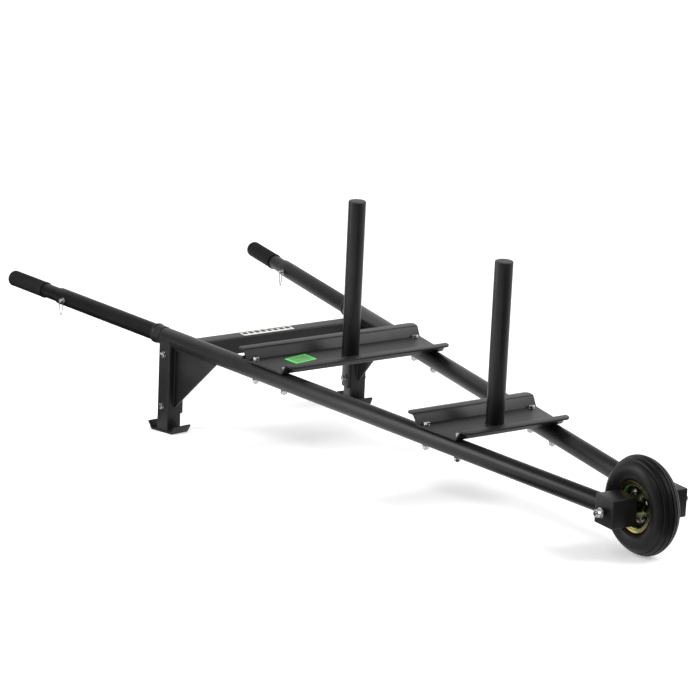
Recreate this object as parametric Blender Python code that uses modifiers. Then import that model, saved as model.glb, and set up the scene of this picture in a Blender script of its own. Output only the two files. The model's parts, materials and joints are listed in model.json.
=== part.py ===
# Plate-loaded wheelbarrow for conditioning work: two splayed rails, one wheel,
# two bolted trays with weight posts, two legs and two telescoping handles.
# Metres, +Z up, +X forward to the wheel, +Y the operator's left.

import bpy
import bmesh
from math import atan, cos, pi, radians, sin
from mathutils import Matrix, Vector

GAP = 0.0003              # between pieces that touch
SIDES = {"right": -1, "left": 1}

# Layout of the frame
WHEEL_RADIUS = 0.130
AXLE_X = 1.2107           # the axle ahead of the middle of the whole length
SLOPE = radians(4.71)     # the rails rise towards the handles
SPLAY = radians(7.88)     # each rail turns out from the centre line
RAIL_START_Y = 0.0737     # a rail's axis beside the axle
RAIL_R = 0.0254
RAIL_WALL = 0.003
TUBE_STEPS = 16

# Stations along a rail, measured back from the axle
RAIL_BACK = -1.866
SLEEVE_BACK, SLEEVE_FRONT = -1.877, -1.839
LEG_AT = -1.8095
GUSSET_TIP = -1.602
TUBE_BACK = -2.342
PIN_AT = -2.297
HANDLE_BACK = -2.5815
HANDLE_FRONT = -1.950

# Rear tubes, handles and grips
REAR_TUBE_R = 0.0244
REAR_TUBE_WALL = 0.0018
SPIGOT_R = 0.0221
SPIGOT_FRONT = -1.780
HANDLE_R = 0.0222
HANDLE_WALL = 0.0025
GRIP_R = 0.0237
GRIP_LENGTH = 0.1645
GRIP_END = 0.003
LOCK_PITCH = 0.025
LOCK_HOLES = 7

# Lock pins and their wire bails
PIN_R = 0.005
PIN_HOLE_R = 0.0055
PIN_HEAD_R = 0.0065
PIN_FLANGE_R = 0.009
PIN_TIP = 0.033
BAIL_OUT = 0.0325
BAIL_WIRE_R = 0.0011
BAIL_WIDTH = 0.020
BAIL_DROP = 0.042

# Axle boxes, axle and wheel
BOX_FRONT, BOX_BACK = 0.033, -0.041
BOX_HEIGHT = 0.076
BOX_INNER_Y, BOX_OUTER_Y = 0.042, 0.118
BOX_WALL = 0.005
BOSS_R, BOSS_LENGTH = 0.0115, 0.0125
AXLE_R = 0.008
AXLE_HOLE_R = 0.0088
AXLE_END_Y = 0.1495
HUB_R, HUB_HALF = 0.0172, 0.029
BEARING_R, BEARING_WIDTH = 0.014, 0.008
RIM_SHEET = 0.0022
RIM_BOLT_RING, RIM_BOLT_TURN = 0.036, radians(24.5)
TYRE_HALF, TYRE_FLANK_R = 0.0397, 0.0993
TYRE_ROUND = 1.544        # 2 would make the crown an ellipse
GROOVES, GROOVE_HALF, GROOVE_DEPTH = (0.0, 0.0118), 0.0017, 0.0032
WHEEL_STEPS = 24

# Trays and posts
TRAY_SHEET = 0.005
TRAY_CENTRES = {"rear": -1.3515, "front": -0.6490}
TRAY_BASE_HALF = 0.0742
TRAY_RISE = 0.0265
TRAY_LEAN = 0.0185
TRAY_LIP = 0.0290
TRAY_BEND_R = 0.0055
TRAY_OUTBOARD = 0.021
TRAY_CORNER = 0.016
BOLT_PITCH = 0.123
POST_AHEAD = 0.0075        # a post's axis ahead of the middle of its tray
POST_R = 0.02475
POST_WALL = 0.003
POST_HEIGHT = 0.448
DOME_BOLT_AT = -1.480
DOME_R, DOME_HEIGHT = 0.0072, 0.0050

# Legs, hangers, gussets, feet and crossbeam
LEG_SIZE = 0.050
LEG_WALL = 0.003
HANGER_SHEET = 0.0075
HANGER_WIDTH = 0.044
HANGER_FOOT = -0.228
GUSSET_SHEET = 0.006
GUSSET_FOOT = -0.201
GUSSET_NOSE = 0.004
LEG_BOLT_HEIGHTS = {"upper": -0.046, "lower": -0.200}
FOOT_SHEET = 0.005
FOOT_WIDTH = 0.0586
FOOT_FLAT = 0.0962
FOOT_AHEAD = 0.0055       # the foot's middle ahead of the leg's
FOOT_TOE_RUN, FOOT_TOE_RISE = 0.015, 0.0225
BEAM_AT = -1.742
BEAM_DROP = 0.0257         # the beam's axis below the rails' axes
BEAM_SIZE = 0.050
BEAM_WALL = 0.003

# Hardware
BOLT_R, BOLT_HOLE_R = 0.0050, 0.0055
HEX_R, HEAD_HEIGHT, NUT_HEIGHT = 0.0092, 0.0064, 0.0082
WASHER_R, WASHER_SHEET = 0.0095, 0.0018
THREAD_END = 0.003
HOLE_SIDES = 8

for old in list(bpy.data.objects):
    bpy.data.objects.remove(old)

parts = bpy.data.collections.new("plate_loaded_wheelbarrow")
cutters = bpy.data.collections.new("cutters")
bpy.context.scene.collection.children.link(parts)
bpy.context.scene.collection.children.link(cutters)


def material(name, colour, roughness, metallic):
    mat = bpy.data.materials.new(name)
    mat.use_nodes = True
    shader = mat.node_tree.nodes["Principled BSDF"]
    shader.inputs["Base Color"].default_value = (*colour, 1)
    shader.inputs["Roughness"].default_value = roughness
    shader.inputs["Metallic"].default_value = metallic
    return mat


BLACK = material("black_powder_coat", (0.022, 0.022, 0.023), 0.5, 0.0)
GRIP = material("grip_rubber", (0.016, 0.016, 0.017), 0.85, 0.0)
ZINC = material("zinc", (0.72, 0.75, 0.78), 0.3, 1.0)
YELLOW_ZINC = material("yellow_zinc", (0.62, 0.48, 0.16), 0.3, 1.0)
TYRE = material("tyre_rubber", (0.020, 0.019, 0.019), 0.7, 0.0)
CAP = material("cap_plastic", (0.020, 0.020, 0.021), 0.6, 0.0)
STEEL = material("bearing_steel", (0.55, 0.56, 0.58), 0.35, 1.0)


# Frames that the pieces are placed in

def empty(name, parent=None, location=(0, 0, 0), rotation=(0, 0, 0)):
    obj = bpy.data.objects.new(name, None)
    parts.objects.link(obj)
    obj.parent = parent
    obj.location = location
    obj.rotation_euler = rotation
    return obj


slope_frame = empty("slope_frame", None, (AXLE_X, 0, WHEEL_RADIUS), (0, SLOPE, 0))
wheel_frame = empty("wheel_frame", None, (AXLE_X, 0, WHEEL_RADIUS))
# In a rail's frame X runs forward along the rail and Z stands square to it.
rail_frames = {
    side: empty(f"rail_frame_{side}", slope_frame, (0, sign * RAIL_START_Y, 0), (0, 0, -sign * SPLAY))
    for side, sign in SIDES.items()
}
bpy.context.view_layer.update()


def rail_y(along_slope):
    """Distance of a rail's axis from the centre line at a station of the slope frame."""
    return RAIL_START_Y - along_slope * sin(SPLAY) / cos(SPLAY)


# Shapes

def finish(obj, mat, parent, location=(0, 0, 0), rotation=(0, 0, 0), smooth=True):
    obj.parent = parent
    obj.location = location
    obj.rotation_euler = rotation
    obj.data.materials.clear()
    obj.data.materials.append(mat)
    if smooth and obj.type == "MESH":
        obj.data.shade_smooth()
        obj.data.set_sharp_from_angle(angle=radians(35))
    return obj


def mesh_object(name, bm, collection=None):
    mesh = bpy.data.meshes.new(name)
    bm.to_mesh(mesh)
    bm.free()
    obj = bpy.data.objects.new(name, mesh)
    (collection or parts).objects.link(obj)
    return obj


def turned(name, profile, steps=TUBE_STEPS, closed=True, collection=None):
    """A profile of (radius, height) points, down the outer side, swept about Z."""
    mesh = bpy.data.meshes.new(name)
    points = [(r, 0, z) for r, z in profile]
    edges = [(i, i + 1) for i in range(len(points) - 1)]
    if closed:
        edges.append((len(points) - 1, 0))
    mesh.from_pydata(points, edges, [])
    obj = bpy.data.objects.new(name, mesh)
    (collection or parts).objects.link(obj)
    screw = obj.modifiers.new("screw", "SCREW")
    screw.axis = "Z"
    screw.angle = 2 * pi
    screw.steps = screw.render_steps = steps
    screw.use_merge_vertices = True
    screw.merge_threshold = 0.00001
    screw.use_smooth_shade = True
    return obj


def pipe_profile(outer, inner, low, high):
    return [(outer, high), (outer, low), (inner, low), (inner, high)]


def filleted(points, radius, steps=3):
    """An open line of 2D points with each inner corner rounded by an arc."""
    line = [points[0]]
    for before, corner, after in zip(points, points[1:], points[2:]):
        corner = Vector(corner)
        back = (Vector(before) - corner).normalized()
        ahead = (Vector(after) - corner).normalized()
        half = back.angle(ahead) / 2
        cut = radius * cos(half) / sin(half)
        centre = corner + (back + ahead).normalized() * radius / sin(half)
        start = corner + back * cut - centre
        turn = start.angle_signed(corner + ahead * cut - centre)
        for i in range(steps + 1):
            spoke = Matrix.Rotation(-turn * i / steps, 2) @ start
            line.append(tuple(centre + spoke))
    line.append(points[-1])
    return line


def rounded_loop(points, radius, steps=3):
    """A closed outline with every corner rounded."""
    ring = filleted([points[-1], *points, points[0]], radius, steps)
    return ring[1:-1]


def outline(name, loops, thickness, collection=None):
    """A flat 2D curve with the given closed loops, extruded to a thickness and made a mesh."""
    curve = bpy.data.curves.new(name, "CURVE")
    curve.dimensions = "2D"
    curve.fill_mode = "BOTH"
    curve.extrude = thickness / 2
    for loop in loops:
        spline = curve.splines.new("POLY")
        spline.points.add(len(loop) - 1)
        for point, (x, y) in zip(spline.points, loop):
            point.co = (x, y, 0, 1)
        spline.use_cyclic_u = True
    return from_curve(name, curve, collection)


def from_curve(name, curve, collection=None):
    """The curve's evaluated shape as a closed mesh of its own."""
    source = bpy.data.objects.new(name + "_curve", curve)
    bpy.context.scene.collection.objects.link(source)
    graph = bpy.context.evaluated_depsgraph_get()
    mesh = bpy.data.meshes.new_from_object(source.evaluated_get(graph))
    bpy.data.objects.remove(source)
    bm = bmesh.new()
    bm.from_mesh(mesh)
    bmesh.ops.remove_doubles(bm, verts=bm.verts, dist=0.000001)
    bmesh.ops.recalc_face_normals(bm, faces=bm.faces)
    bm.to_mesh(mesh)
    bm.free()
    mesh.name = name
    obj = bpy.data.objects.new(name, mesh)
    (collection or parts).objects.link(obj)
    return obj


def rectangle(width, height):
    x, y = width / 2, height / 2
    return [(-x, -y), (x, -y), (x, y), (-x, y)]


def square_tube(name, size, wall, length):
    """A square tube with rounded corners along its own Z."""
    inner = size - 2 * wall
    loops = [rounded_loop(rectangle(size, size), 0.005, 2), rounded_loop(rectangle(inner, inner), 0.002, 1)]
    return outline(name, loops, length)


def cutter(obj, parent, location=(0, 0, 0), rotation=(0, 0, 0)):
    obj.hide_render = True
    obj.display_type = "WIRE"
    obj.parent = parent
    obj.location = location
    obj.rotation_euler = rotation
    return obj


def rods(name, radius, length, places, axis="Z", sides=HOLE_SIDES):
    """A cutter of several round rods, each centred on its place."""
    turn = {"X": Matrix.Rotation(pi / 2, 4, "Y"), "Y": Matrix.Rotation(pi / 2, 4, "X"), "Z": Matrix()}[axis]
    bm = bmesh.new()
    for place in places:
        bmesh.ops.create_cone(bm, cap_ends=True, segments=sides, radius1=radius, radius2=radius,
                              depth=length, matrix=Matrix.Translation(place) @ turn)
    return mesh_object(name, bm, cutters)


def block(name, size, collection=None):
    bm = bmesh.new()
    bmesh.ops.create_cube(bm, size=1, matrix=Matrix.Diagonal((*size, 1)))
    return mesh_object(name, bm, collection)


def boolean(obj, tool, operation="DIFFERENCE"):
    modifier = obj.modifiers.new(operation.lower(), "BOOLEAN")
    modifier.operation = operation
    modifier.solver = "EXACT"
    modifier.object = tool


# Rails, sleeves, rear tubes and handles

def make_rail(side):
    frame = rail_frames[side]
    reach = 0.02
    rail = turned(f"rail_{side}", pipe_profile(RAIL_R, RAIL_R - RAIL_WALL, RAIL_BACK, BOX_BACK + reach))
    finish(rail, BLACK, frame, rotation=(0, pi / 2, 0))
    half = BOLT_PITCH / 2
    stations = [centre + step for centre in TRAY_CENTRES.values() for step in (-half, half)]
    places = [(station / cos(SPLAY), 0, 0) for station in stations]
    boolean(rail, cutter(rods(f"rail_holes_{side}", BOLT_HOLE_R, 0.06, places), frame))
    dome = cutter(rods(f"dome_hole_{side}", BOLT_HOLE_R, 0.02, [(DOME_BOLT_AT, 0, RAIL_R)]), frame)
    boolean(rail, dome)
    # The front end is cut to lie against the back of the axle box.
    size = 0.12
    face = cutter(block(f"box_face_{side}", (size, size, size), cutters), slope_frame,
                  (BOX_BACK - GAP + size / 2, SIDES[side] * 0.08, 0))
    boolean(rail, face)


def make_sleeve(side):
    """The belled end of the rail, with a rim that closes on the rear tube."""
    back, front = SLEEVE_BACK, SLEEVE_FRONT
    inner, throat = RAIL_R + GAP, REAR_TUBE_R + GAP
    step = RAIL_BACK - GAP
    profile = [
        (inner + 0.0006, front), (0.0275, front - 0.017), (0.0279, back + 0.008), (0.0277, back + 0.0062),
        (0.0290, back + 0.005), (0.0290, back + 0.001), (0.0284, back), (throat, back),
        (throat, step - 0.0007), (inner, step), (inner, front),
    ]
    finish(turned(f"sleeve_{side}", profile), BLACK, rail_frames[side], rotation=(0, pi / 2, 0))


def make_rear_tube(side):
    bore, spigot_bore = REAR_TUBE_R - REAR_TUBE_WALL, SPIGOT_R - REAR_TUBE_WALL
    shoulder = SLEEVE_BACK + 0.004
    profile = [
        (SPIGOT_R, SPIGOT_FRONT), (SPIGOT_R, shoulder + 0.004), (REAR_TUBE_R, shoulder),
        (REAR_TUBE_R, TUBE_BACK), (bore, TUBE_BACK), (bore, shoulder - 0.004),
        (spigot_bore, shoulder + 0.002), (spigot_bore, SPIGOT_FRONT),
    ]
    frame = rail_frames[side]
    tube = finish(turned(f"rear_tube_{side}", profile), BLACK, frame, rotation=(0, pi / 2, 0))
    boolean(tube, cutter(rods(f"tube_pin_hole_{side}", PIN_HOLE_R, 0.07, [(PIN_AT, 0, 0)], "Y"), frame))


def make_handle(side):
    """The inner tube, with the row of through-holes that the lock pin picks from."""
    frame = rail_frames[side]
    back = HANDLE_BACK + GRIP_END + GAP
    profile = pipe_profile(HANDLE_R, HANDLE_R - HANDLE_WALL, back, HANDLE_FRONT)
    tube = finish(turned(f"handle_tube_{side}", profile), BLACK, frame, rotation=(0, pi / 2, 0))
    places = [(PIN_AT + i * LOCK_PITCH, 0, 0) for i in range(LOCK_HOLES)]
    boolean(tube, cutter(rods(f"lock_holes_{side}", PIN_HOLE_R, 0.06, places, "Y"), frame))


def make_grip(side):
    back = HANDLE_BACK
    front = back + GRIP_LENGTH
    bore = HANDLE_R + GAP
    profile = [
        (bore, front), (GRIP_R + 0.0006, front), (GRIP_R + 0.0006, front - 0.005), (GRIP_R, front - 0.006),
        (GRIP_R, back + 0.006), (GRIP_R - 0.0018, back + 0.0018), (GRIP_R - 0.006, back), (0, back),
        (0, back + GRIP_END), (bore, back + GRIP_END),
    ]
    finish(turned(f"grip_{side}", profile), GRIP, rail_frames[side], rotation=(0, pi / 2, 0))


def make_pin(side):
    """A detent pin: flange and head on the operator's right of each tube, a cross hole for the bail."""
    seat = REAR_TUBE_R + GAP
    top = BAIL_OUT + 0.0055
    profile = [
        (0, top), (PIN_HEAD_R - 0.001, top), (PIN_HEAD_R, top - 0.001), (PIN_HEAD_R, seat + 0.0025),
        (PIN_FLANGE_R, seat + 0.002), (PIN_FLANGE_R, seat), (PIN_R, seat), (PIN_R, -PIN_TIP + 0.004),
        (PIN_R - 0.0025, -PIN_TIP), (0, -PIN_TIP),
    ]
    frame = rail_frames[side]
    pin = turned(f"lock_pin_{side}", profile, 10, closed=False)
    finish(pin, ZINC, frame, (PIN_AT, 0, 0), (pi / 2, 0, 0))
    boolean(pin, cutter(rods(f"bail_hole_{side}", BAIL_WIRE_R + 0.0008, 0.03,
                             [(PIN_AT, -BAIL_OUT, 0)], "X", 8), frame))


def make_bail(side):
    """A triangular wire bail that hangs from the head of the lock pin."""
    half = BAIL_WIDTH / 2
    tip = 0.0035
    path = rounded_loop([(-half, 0), (half, 0), (tip, -BAIL_DROP), (-tip, -BAIL_DROP)], 0.0028, 2)
    curve = bpy.data.curves.new(f"bail_{side}", "CURVE")
    curve.dimensions = "3D"
    curve.bevel_depth = BAIL_WIRE_R
    curve.bevel_resolution = 2
    spline = curve.splines.new("POLY")
    spline.points.add(len(path) - 1)
    for point, (x, z) in zip(spline.points, path):
        point.co = (x, 0, z, 1)
    spline.use_cyclic_u = True
    bail = from_curve(f"bail_{side}", curve)
    finish(bail, ZINC, rail_frames[side], (PIN_AT, -BAIL_OUT, 0), (0, 0, 0))


# Fasteners: head or dome, washers, shank and nut are one solid each

def prism(name, sides, radius, low, high, collection=None):
    bm = bmesh.new()
    bmesh.ops.create_cone(bm, cap_ends=True, segments=sides, radius1=radius, radius2=radius,
                          depth=high - low, matrix=Matrix.Translation((0, 0, (low + high) / 2)))
    return mesh_object(name, bm, collection)


def fused(name, levels, frame, location=(0, 0, 0), rotation=(0, 0, 0)):
    """Prisms of (sides, radius, low, high) along their Z, united into one zinc body."""
    first = finish(prism(name, *levels[0]), ZINC, frame, location, rotation, smooth=False)
    for i, level in enumerate(levels[1:]):
        tool = prism(f"{name}_level_{i}", *level, cutters)
        boolean(first, cutter(tool, frame, location, rotation), "UNION")
    return first


def make_bolt(name, grip_low, grip_high, frame, location, rotation=(0, 0, 0)):
    """A hex bolt through everything between two heights of its own axis."""
    overlap = 0.0004
    top = grip_high + GAP + WASHER_SHEET
    base = grip_low - GAP - WASHER_SHEET
    levels = [
        (6, BOLT_R, base - NUT_HEIGHT - THREAD_END, top + overlap),
        (10, WASHER_R, grip_high + GAP, top),
        (6, HEX_R, top - overlap, top + HEAD_HEIGHT),
        (10, WASHER_R, base, grip_low - GAP),
        (6, HEX_R, base - NUT_HEIGHT, base + overlap),
    ]
    return fused(name, levels, frame, location, rotation)


def make_dome_bolt(side):
    """A button-head screw in the top of the rail, just behind the rear tray."""
    top = RAIL_R + GAP
    profile = [
        (0, top + DOME_HEIGHT), (DOME_R * 0.4, top + DOME_HEIGHT * 0.93),
        (DOME_R * 0.76, top + DOME_HEIGHT * 0.62), (DOME_R, top), (BOLT_R, top),
        (BOLT_R, top - 0.012), (0, top - 0.012),
    ]
    screw = turned(f"dome_bolt_{side}", profile, 10, closed=False)
    finish(screw, ZINC, rail_frames[side], (DOME_BOLT_AT, 0, 0))


# Trays and posts

def make_tray(place, centre):
    """A bent sheet: a flat base, two leaning flanges and two lips, cut to the splay of the rails."""
    base, lip = TRAY_BASE_HALF, TRAY_BASE_HALF + TRAY_LEAN
    under = RAIL_R + GAP
    edge = lip + TRAY_LIP
    half_line = [(0, 0), (base, 0), (lip, TRAY_RISE), (edge, TRAY_RISE)]
    rounded = filleted(half_line, TRAY_BEND_R, 2)
    line = [(-x, z) for x, z in reversed(rounded)] + rounded[1:]
    bm = bmesh.new()
    row = [bm.verts.new((x, -0.45, z + under)) for x, z in line]
    edges = [bm.edges.new(pair) for pair in zip(row, row[1:])]
    swept = bmesh.ops.extrude_edge_only(bm, edges=edges)["geom"]
    bmesh.ops.translate(bm, vec=(0, 0.9, 0), verts=[v for v in swept if isinstance(v, bmesh.types.BMVert)])
    bmesh.ops.recalc_face_normals(bm, faces=bm.faces)
    tray = mesh_object(f"tray_{place}", bm)
    upward = tray.data.polygons[0].normal.z > 0
    shell = tray.modifiers.new("sheet", "SOLIDIFY")
    shell.thickness = TRAY_SHEET
    shell.offset = 1 if upward else -1
    finish(tray, BLACK, slope_frame, (centre, 0, 0))
    corners = [(x, sign * (rail_y(centre + x) + TRAY_OUTBOARD)) for x, sign in
               ((-edge, -1), (edge, -1), (edge, 1), (-edge, 1))]
    plan = outline(f"tray_plan_{place}", [rounded_loop(corners, TRAY_CORNER, 4)], 0.2, cutters)
    boolean(tray, cutter(plan, slope_frame, (centre, 0, under)), "INTERSECT")
    half = BOLT_PITCH / 2
    holes = [(x, sign * rail_y(centre + x), under) for x in (-half, half) for sign in (-1, 1)]
    boolean(tray, cutter(rods(f"tray_holes_{place}", BOLT_HOLE_R, 0.03, holes), slope_frame, (centre, 0, 0)))


def make_post(place, centre):
    foot = RAIL_R + GAP + TRAY_SHEET + GAP
    top = foot + POST_HEIGHT - 0.003
    spot = (centre + POST_AHEAD, 0, 0)
    post = turned(f"post_{place}", pipe_profile(POST_R, POST_R - POST_WALL, foot, top), 20)
    finish(post, BLACK, slope_frame, spot)
    bore = POST_R - POST_WALL - GAP
    seat = top + GAP
    profile = [
        (0, seat + 0.003), (POST_R - 0.0022, seat + 0.003), (POST_R, seat + 0.0012), (POST_R, seat),
        (bore, seat), (bore - 0.0005, seat - 0.014), (0, seat - 0.014),
    ]
    cap = turned(f"post_cap_{place}", profile, 20, closed=False)
    finish(cap, CAP, slope_frame, spot)


def make_tray_bolts(place, centre):
    for end, step in (("back", -BOLT_PITCH / 2), ("fore", BOLT_PITCH / 2)):
        for side in SIDES:
            station = (centre + step) / cos(SPLAY)
            top = RAIL_R + GAP + TRAY_SHEET
            make_bolt(f"tray_bolt_{place}_{end}_{side}", -RAIL_R, top, rail_frames[side], (station, 0, 0))


# Crossbeam, legs and feet

def make_crossbeam():
    """A square tube coped to the lower inner sides of the rails; its ends reach the gussets."""
    beam = square_tube("crossbeam", BEAM_SIZE, BEAM_WALL, 2 * rail_y(BEAM_AT) + BEAM_SIZE)
    finish(beam, BLACK, slope_frame, (BEAM_AT, 0, -BEAM_DROP), (pi / 2, 0, 0))
    station = BEAM_AT / cos(SPLAY)
    size = 0.3
    for side, sign in SIDES.items():
        rod = rods(f"beam_cope_{side}", RAIL_R + 0.0005, 0.5, [(station, 0, 0)], "X", TUBE_STEPS)
        boolean(beam, cutter(rod, rail_frames[side]))
        end = cutter(block(f"beam_end_{side}", (size, size, size), cutters), rail_frames[side],
                     (station, sign * (size / 2 - GUSSET_SHEET / 2 - GAP), 0))
        boolean(beam, end)


def make_leg(side):
    frame = rail_frames[side]
    length = 0.4
    leg = square_tube(f"leg_{side}", LEG_SIZE, LEG_WALL, length)
    finish(leg, BLACK, frame, (LEG_AT, 0, -length / 2))
    rod = rods(f"leg_cope_{side}", RAIL_R + 0.0005, 0.3, [(LEG_AT, 0, 0)], "X", TUBE_STEPS)
    boolean(leg, cutter(rod, frame))
    # The cap of the coped tube above the rail's axis goes with the rail.
    lid = cutter(block(f"leg_lid_{side}", (0.2, 0.2, 0.2), cutters), frame, (LEG_AT, 0, 0.1 - 0.0005))
    boolean(leg, lid)
    floor = cutter(block(f"leg_floor_{side}", (0.6, 0.6, 0.4), cutters), None,
                   (AXLE_X + LEG_AT, SIDES[side] * 0.32, FOOT_SHEET + GAP - 0.2))
    boolean(leg, floor)
    holes = [(LEG_AT, 0, height) for height in LEG_BOLT_HEIGHTS.values()]
    boolean(leg, cutter(rods(f"leg_holes_{side}", BOLT_HOLE_R, 0.09, holes, "Y"), frame))


def make_hanger(side):
    """The plate welded to the inner side of the rail, which the leg is bolted to."""
    top, low = -0.006, HANGER_FOOT
    half = HANGER_WIDTH / 2
    loop = rounded_loop([(-half, low), (half, low), (half, top), (-half, top)], 0.006, 2)
    inward = -SIDES[side] * (LEG_SIZE / 2 + GAP + HANGER_SHEET / 2)
    hanger = outline(f"hanger_{side}", [loop], HANGER_SHEET)
    frame = rail_frames[side]
    finish(hanger, BLACK, frame, (LEG_AT, inward, 0), (pi / 2, 0, 0))
    holes = [(LEG_AT, inward, height) for height in LEG_BOLT_HEIGHTS.values()]
    boolean(hanger, cutter(rods(f"hanger_holes_{side}", BOLT_HOLE_R, 0.02, holes, "Y"), frame))


def make_gusset(side):
    """The triangular plate between the front of the leg and the underside of the rail."""
    heel = LEG_AT + LEG_SIZE / 2 + GAP
    under = -RAIL_R - GAP
    loop = [(heel, under), (heel, GUSSET_FOOT), (heel + GUSSET_NOSE, GUSSET_FOOT),
            (GUSSET_TIP, under - GUSSET_NOSE), (GUSSET_TIP, under)]
    gusset = outline(f"gusset_{side}", [loop], GUSSET_SHEET)
    finish(gusset, BLACK, rail_frames[side], (0, 0, 0), (pi / 2, 0, 0))


def leg_bottom(side):
    """Where the axis of the leg meets the top of the foot, in the world."""
    matrix = rail_frames[side].matrix_world
    high = matrix @ Vector((LEG_AT, 0, 0))
    low = matrix @ Vector((LEG_AT, 0, -0.4))
    share = (high.z - FOOT_SHEET) / (high.z - low.z)
    return high.lerp(low, share)


def make_foot(side):
    """A skid of bent plate under the leg, turned up at both ends."""
    half = FOOT_FLAT / 2
    line = filleted([(-half - FOOT_TOE_RUN, FOOT_TOE_RISE), (-half, 0), (half, 0),
                     (half + FOOT_TOE_RUN, FOOT_TOE_RISE)], 0.008, 2)
    bm = bmesh.new()
    row = [bm.verts.new((x, -FOOT_WIDTH / 2, z)) for x, z in line]
    edges = [bm.edges.new(pair) for pair in zip(row, row[1:])]
    swept = bmesh.ops.extrude_edge_only(bm, edges=edges)["geom"]
    far_row = [v for v in swept if isinstance(v, bmesh.types.BMVert)]
    bmesh.ops.translate(bm, vec=(0, FOOT_WIDTH, 0), verts=far_row)
    bmesh.ops.recalc_face_normals(bm, faces=bm.faces)
    foot = mesh_object(f"foot_{side}", bm)
    middle = foot.data.polygons[len(foot.data.polygons) // 2]
    shell = foot.modifiers.new("sheet", "SOLIDIFY")
    shell.thickness = FOOT_SHEET
    shell.offset = 1 if middle.normal.z > 0 else -1
    spot = leg_bottom(side)
    yaw = atan(sin(SPLAY) / (cos(SPLAY) * cos(SLOPE)))
    finish(foot, BLACK, None, (spot.x + FOOT_AHEAD, spot.y, 0), (0, 0, -SIDES[side] * yaw))


def make_leg_bolts(side):
    sign = SIDES[side]
    for place, height in LEG_BOLT_HEIGHTS.items():
        # The bolt's own Z points outboard, so its head is on the leg's outer face.
        turn = (-sign * pi / 2, 0, 0)
        low = -(LEG_SIZE / 2 + GAP + HANGER_SHEET)
        make_bolt(f"leg_bolt_{place}_{side}", low, LEG_SIZE / 2, rail_frames[side], (LEG_AT, 0, height), turn)


# Axle boxes, axle and wheel

def make_axle_box(side):
    """A welded box with a boss, bored for the axle; the rail meets its back."""
    sign = SIDES[side]
    width = BOX_OUTER_Y - BOX_INNER_Y
    length = BOX_FRONT - BOX_BACK
    middle = ((BOX_FRONT + BOX_BACK) / 2, sign * (BOX_INNER_Y + BOX_OUTER_Y) / 2, 0)
    box = block(f"axle_box_{side}", (length, width, BOX_HEIGHT))
    finish(box, BLACK, slope_frame, middle, smooth=False)
    round_edges = box.modifiers.new("edges", "BEVEL")
    round_edges.width = 0.0022
    round_edges.segments = 2
    boss = rods(f"box_boss_{side}", BOSS_R, BOSS_LENGTH + 0.001,
                [(0, sign * (BOX_OUTER_Y + BOSS_LENGTH / 2 - 0.0005), 0)], "Y", 20)
    boolean(box, cutter(boss, slope_frame), "UNION")
    inner = [size - 2 * BOX_WALL for size in (length, width, BOX_HEIGHT)]
    boolean(box, cutter(block(f"box_room_{side}", inner, cutters), slope_frame, middle))
    bore = rods(f"box_bore_{side}", AXLE_HOLE_R, 0.13, [(0, sign * 0.085, 0)], "Y", 16)
    boolean(box, cutter(bore, slope_frame))


def make_axle():
    """A long bolt: its head on the operator's left, a threaded end with its nut on the right."""
    face = BOX_OUTER_Y + BOSS_LENGTH + GAP
    head = 0.010
    washer_r, washer = 0.0140, 0.0025
    hex_r = 0.0125
    overlap = 0.0004
    levels = [
        (20, AXLE_R, -AXLE_END_Y, face + washer),
        (20, washer_r, face, face + washer),
        (6, hex_r, face + washer - overlap, face + washer + head),
    ]
    along = (-pi / 2, 0, 0)
    fused("axle", levels, slope_frame, rotation=along)
    nut_back = face + washer
    levels = [(20, washer_r, -nut_back, -face), (6, hex_r, -nut_back - 0.0125, -nut_back + overlap)]
    nut = fused("axle_nut", levels, slope_frame, rotation=along)
    bore = rods("nut_bore", AXLE_R + GAP, 0.06, [(0, -nut_back, 0)], "Y", 20)
    boolean(nut, cutter(bore, slope_frame))


def make_spacer(side):
    sign = SIDES[side]
    low, high = HUB_HALF + 0.0008, BOX_INNER_Y - GAP
    profile = pipe_profile(0.0115, AXLE_HOLE_R, low, high)
    finish(turned(f"spacer_{side}", profile, 12), ZINC, slope_frame, rotation=(-sign * pi / 2, 0, 0))


def make_hub():
    """The hub tube, counterbored at both ends for its bearings."""
    seat = BEARING_R + GAP
    depth = HUB_HALF - BEARING_WIDTH - 0.001
    profile = [
        (HUB_R, HUB_HALF), (HUB_R, -HUB_HALF), (seat, -HUB_HALF), (seat, -depth), (0.0105, -depth),
        (0.0105, depth), (seat, depth), (seat, HUB_HALF),
    ]
    finish(turned("hub", profile, 16), YELLOW_ZINC, wheel_frame, rotation=(pi / 2, 0, 0))


def make_bearing(side):
    sign = SIDES[side]
    low = HUB_HALF - BEARING_WIDTH - 0.001 + GAP
    high = low + BEARING_WIDTH
    inner = AXLE_R + 0.0004
    profile = [
        (BEARING_R, high), (BEARING_R, low), (inner, low), (inner, high), (0.0101, high),
        (0.0112, high - 0.0008), (0.0123, high),
    ]
    finish(turned(f"bearing_{side}", profile, 14), STEEL, wheel_frame, rotation=(-sign * pi / 2, 0, 0))


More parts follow.
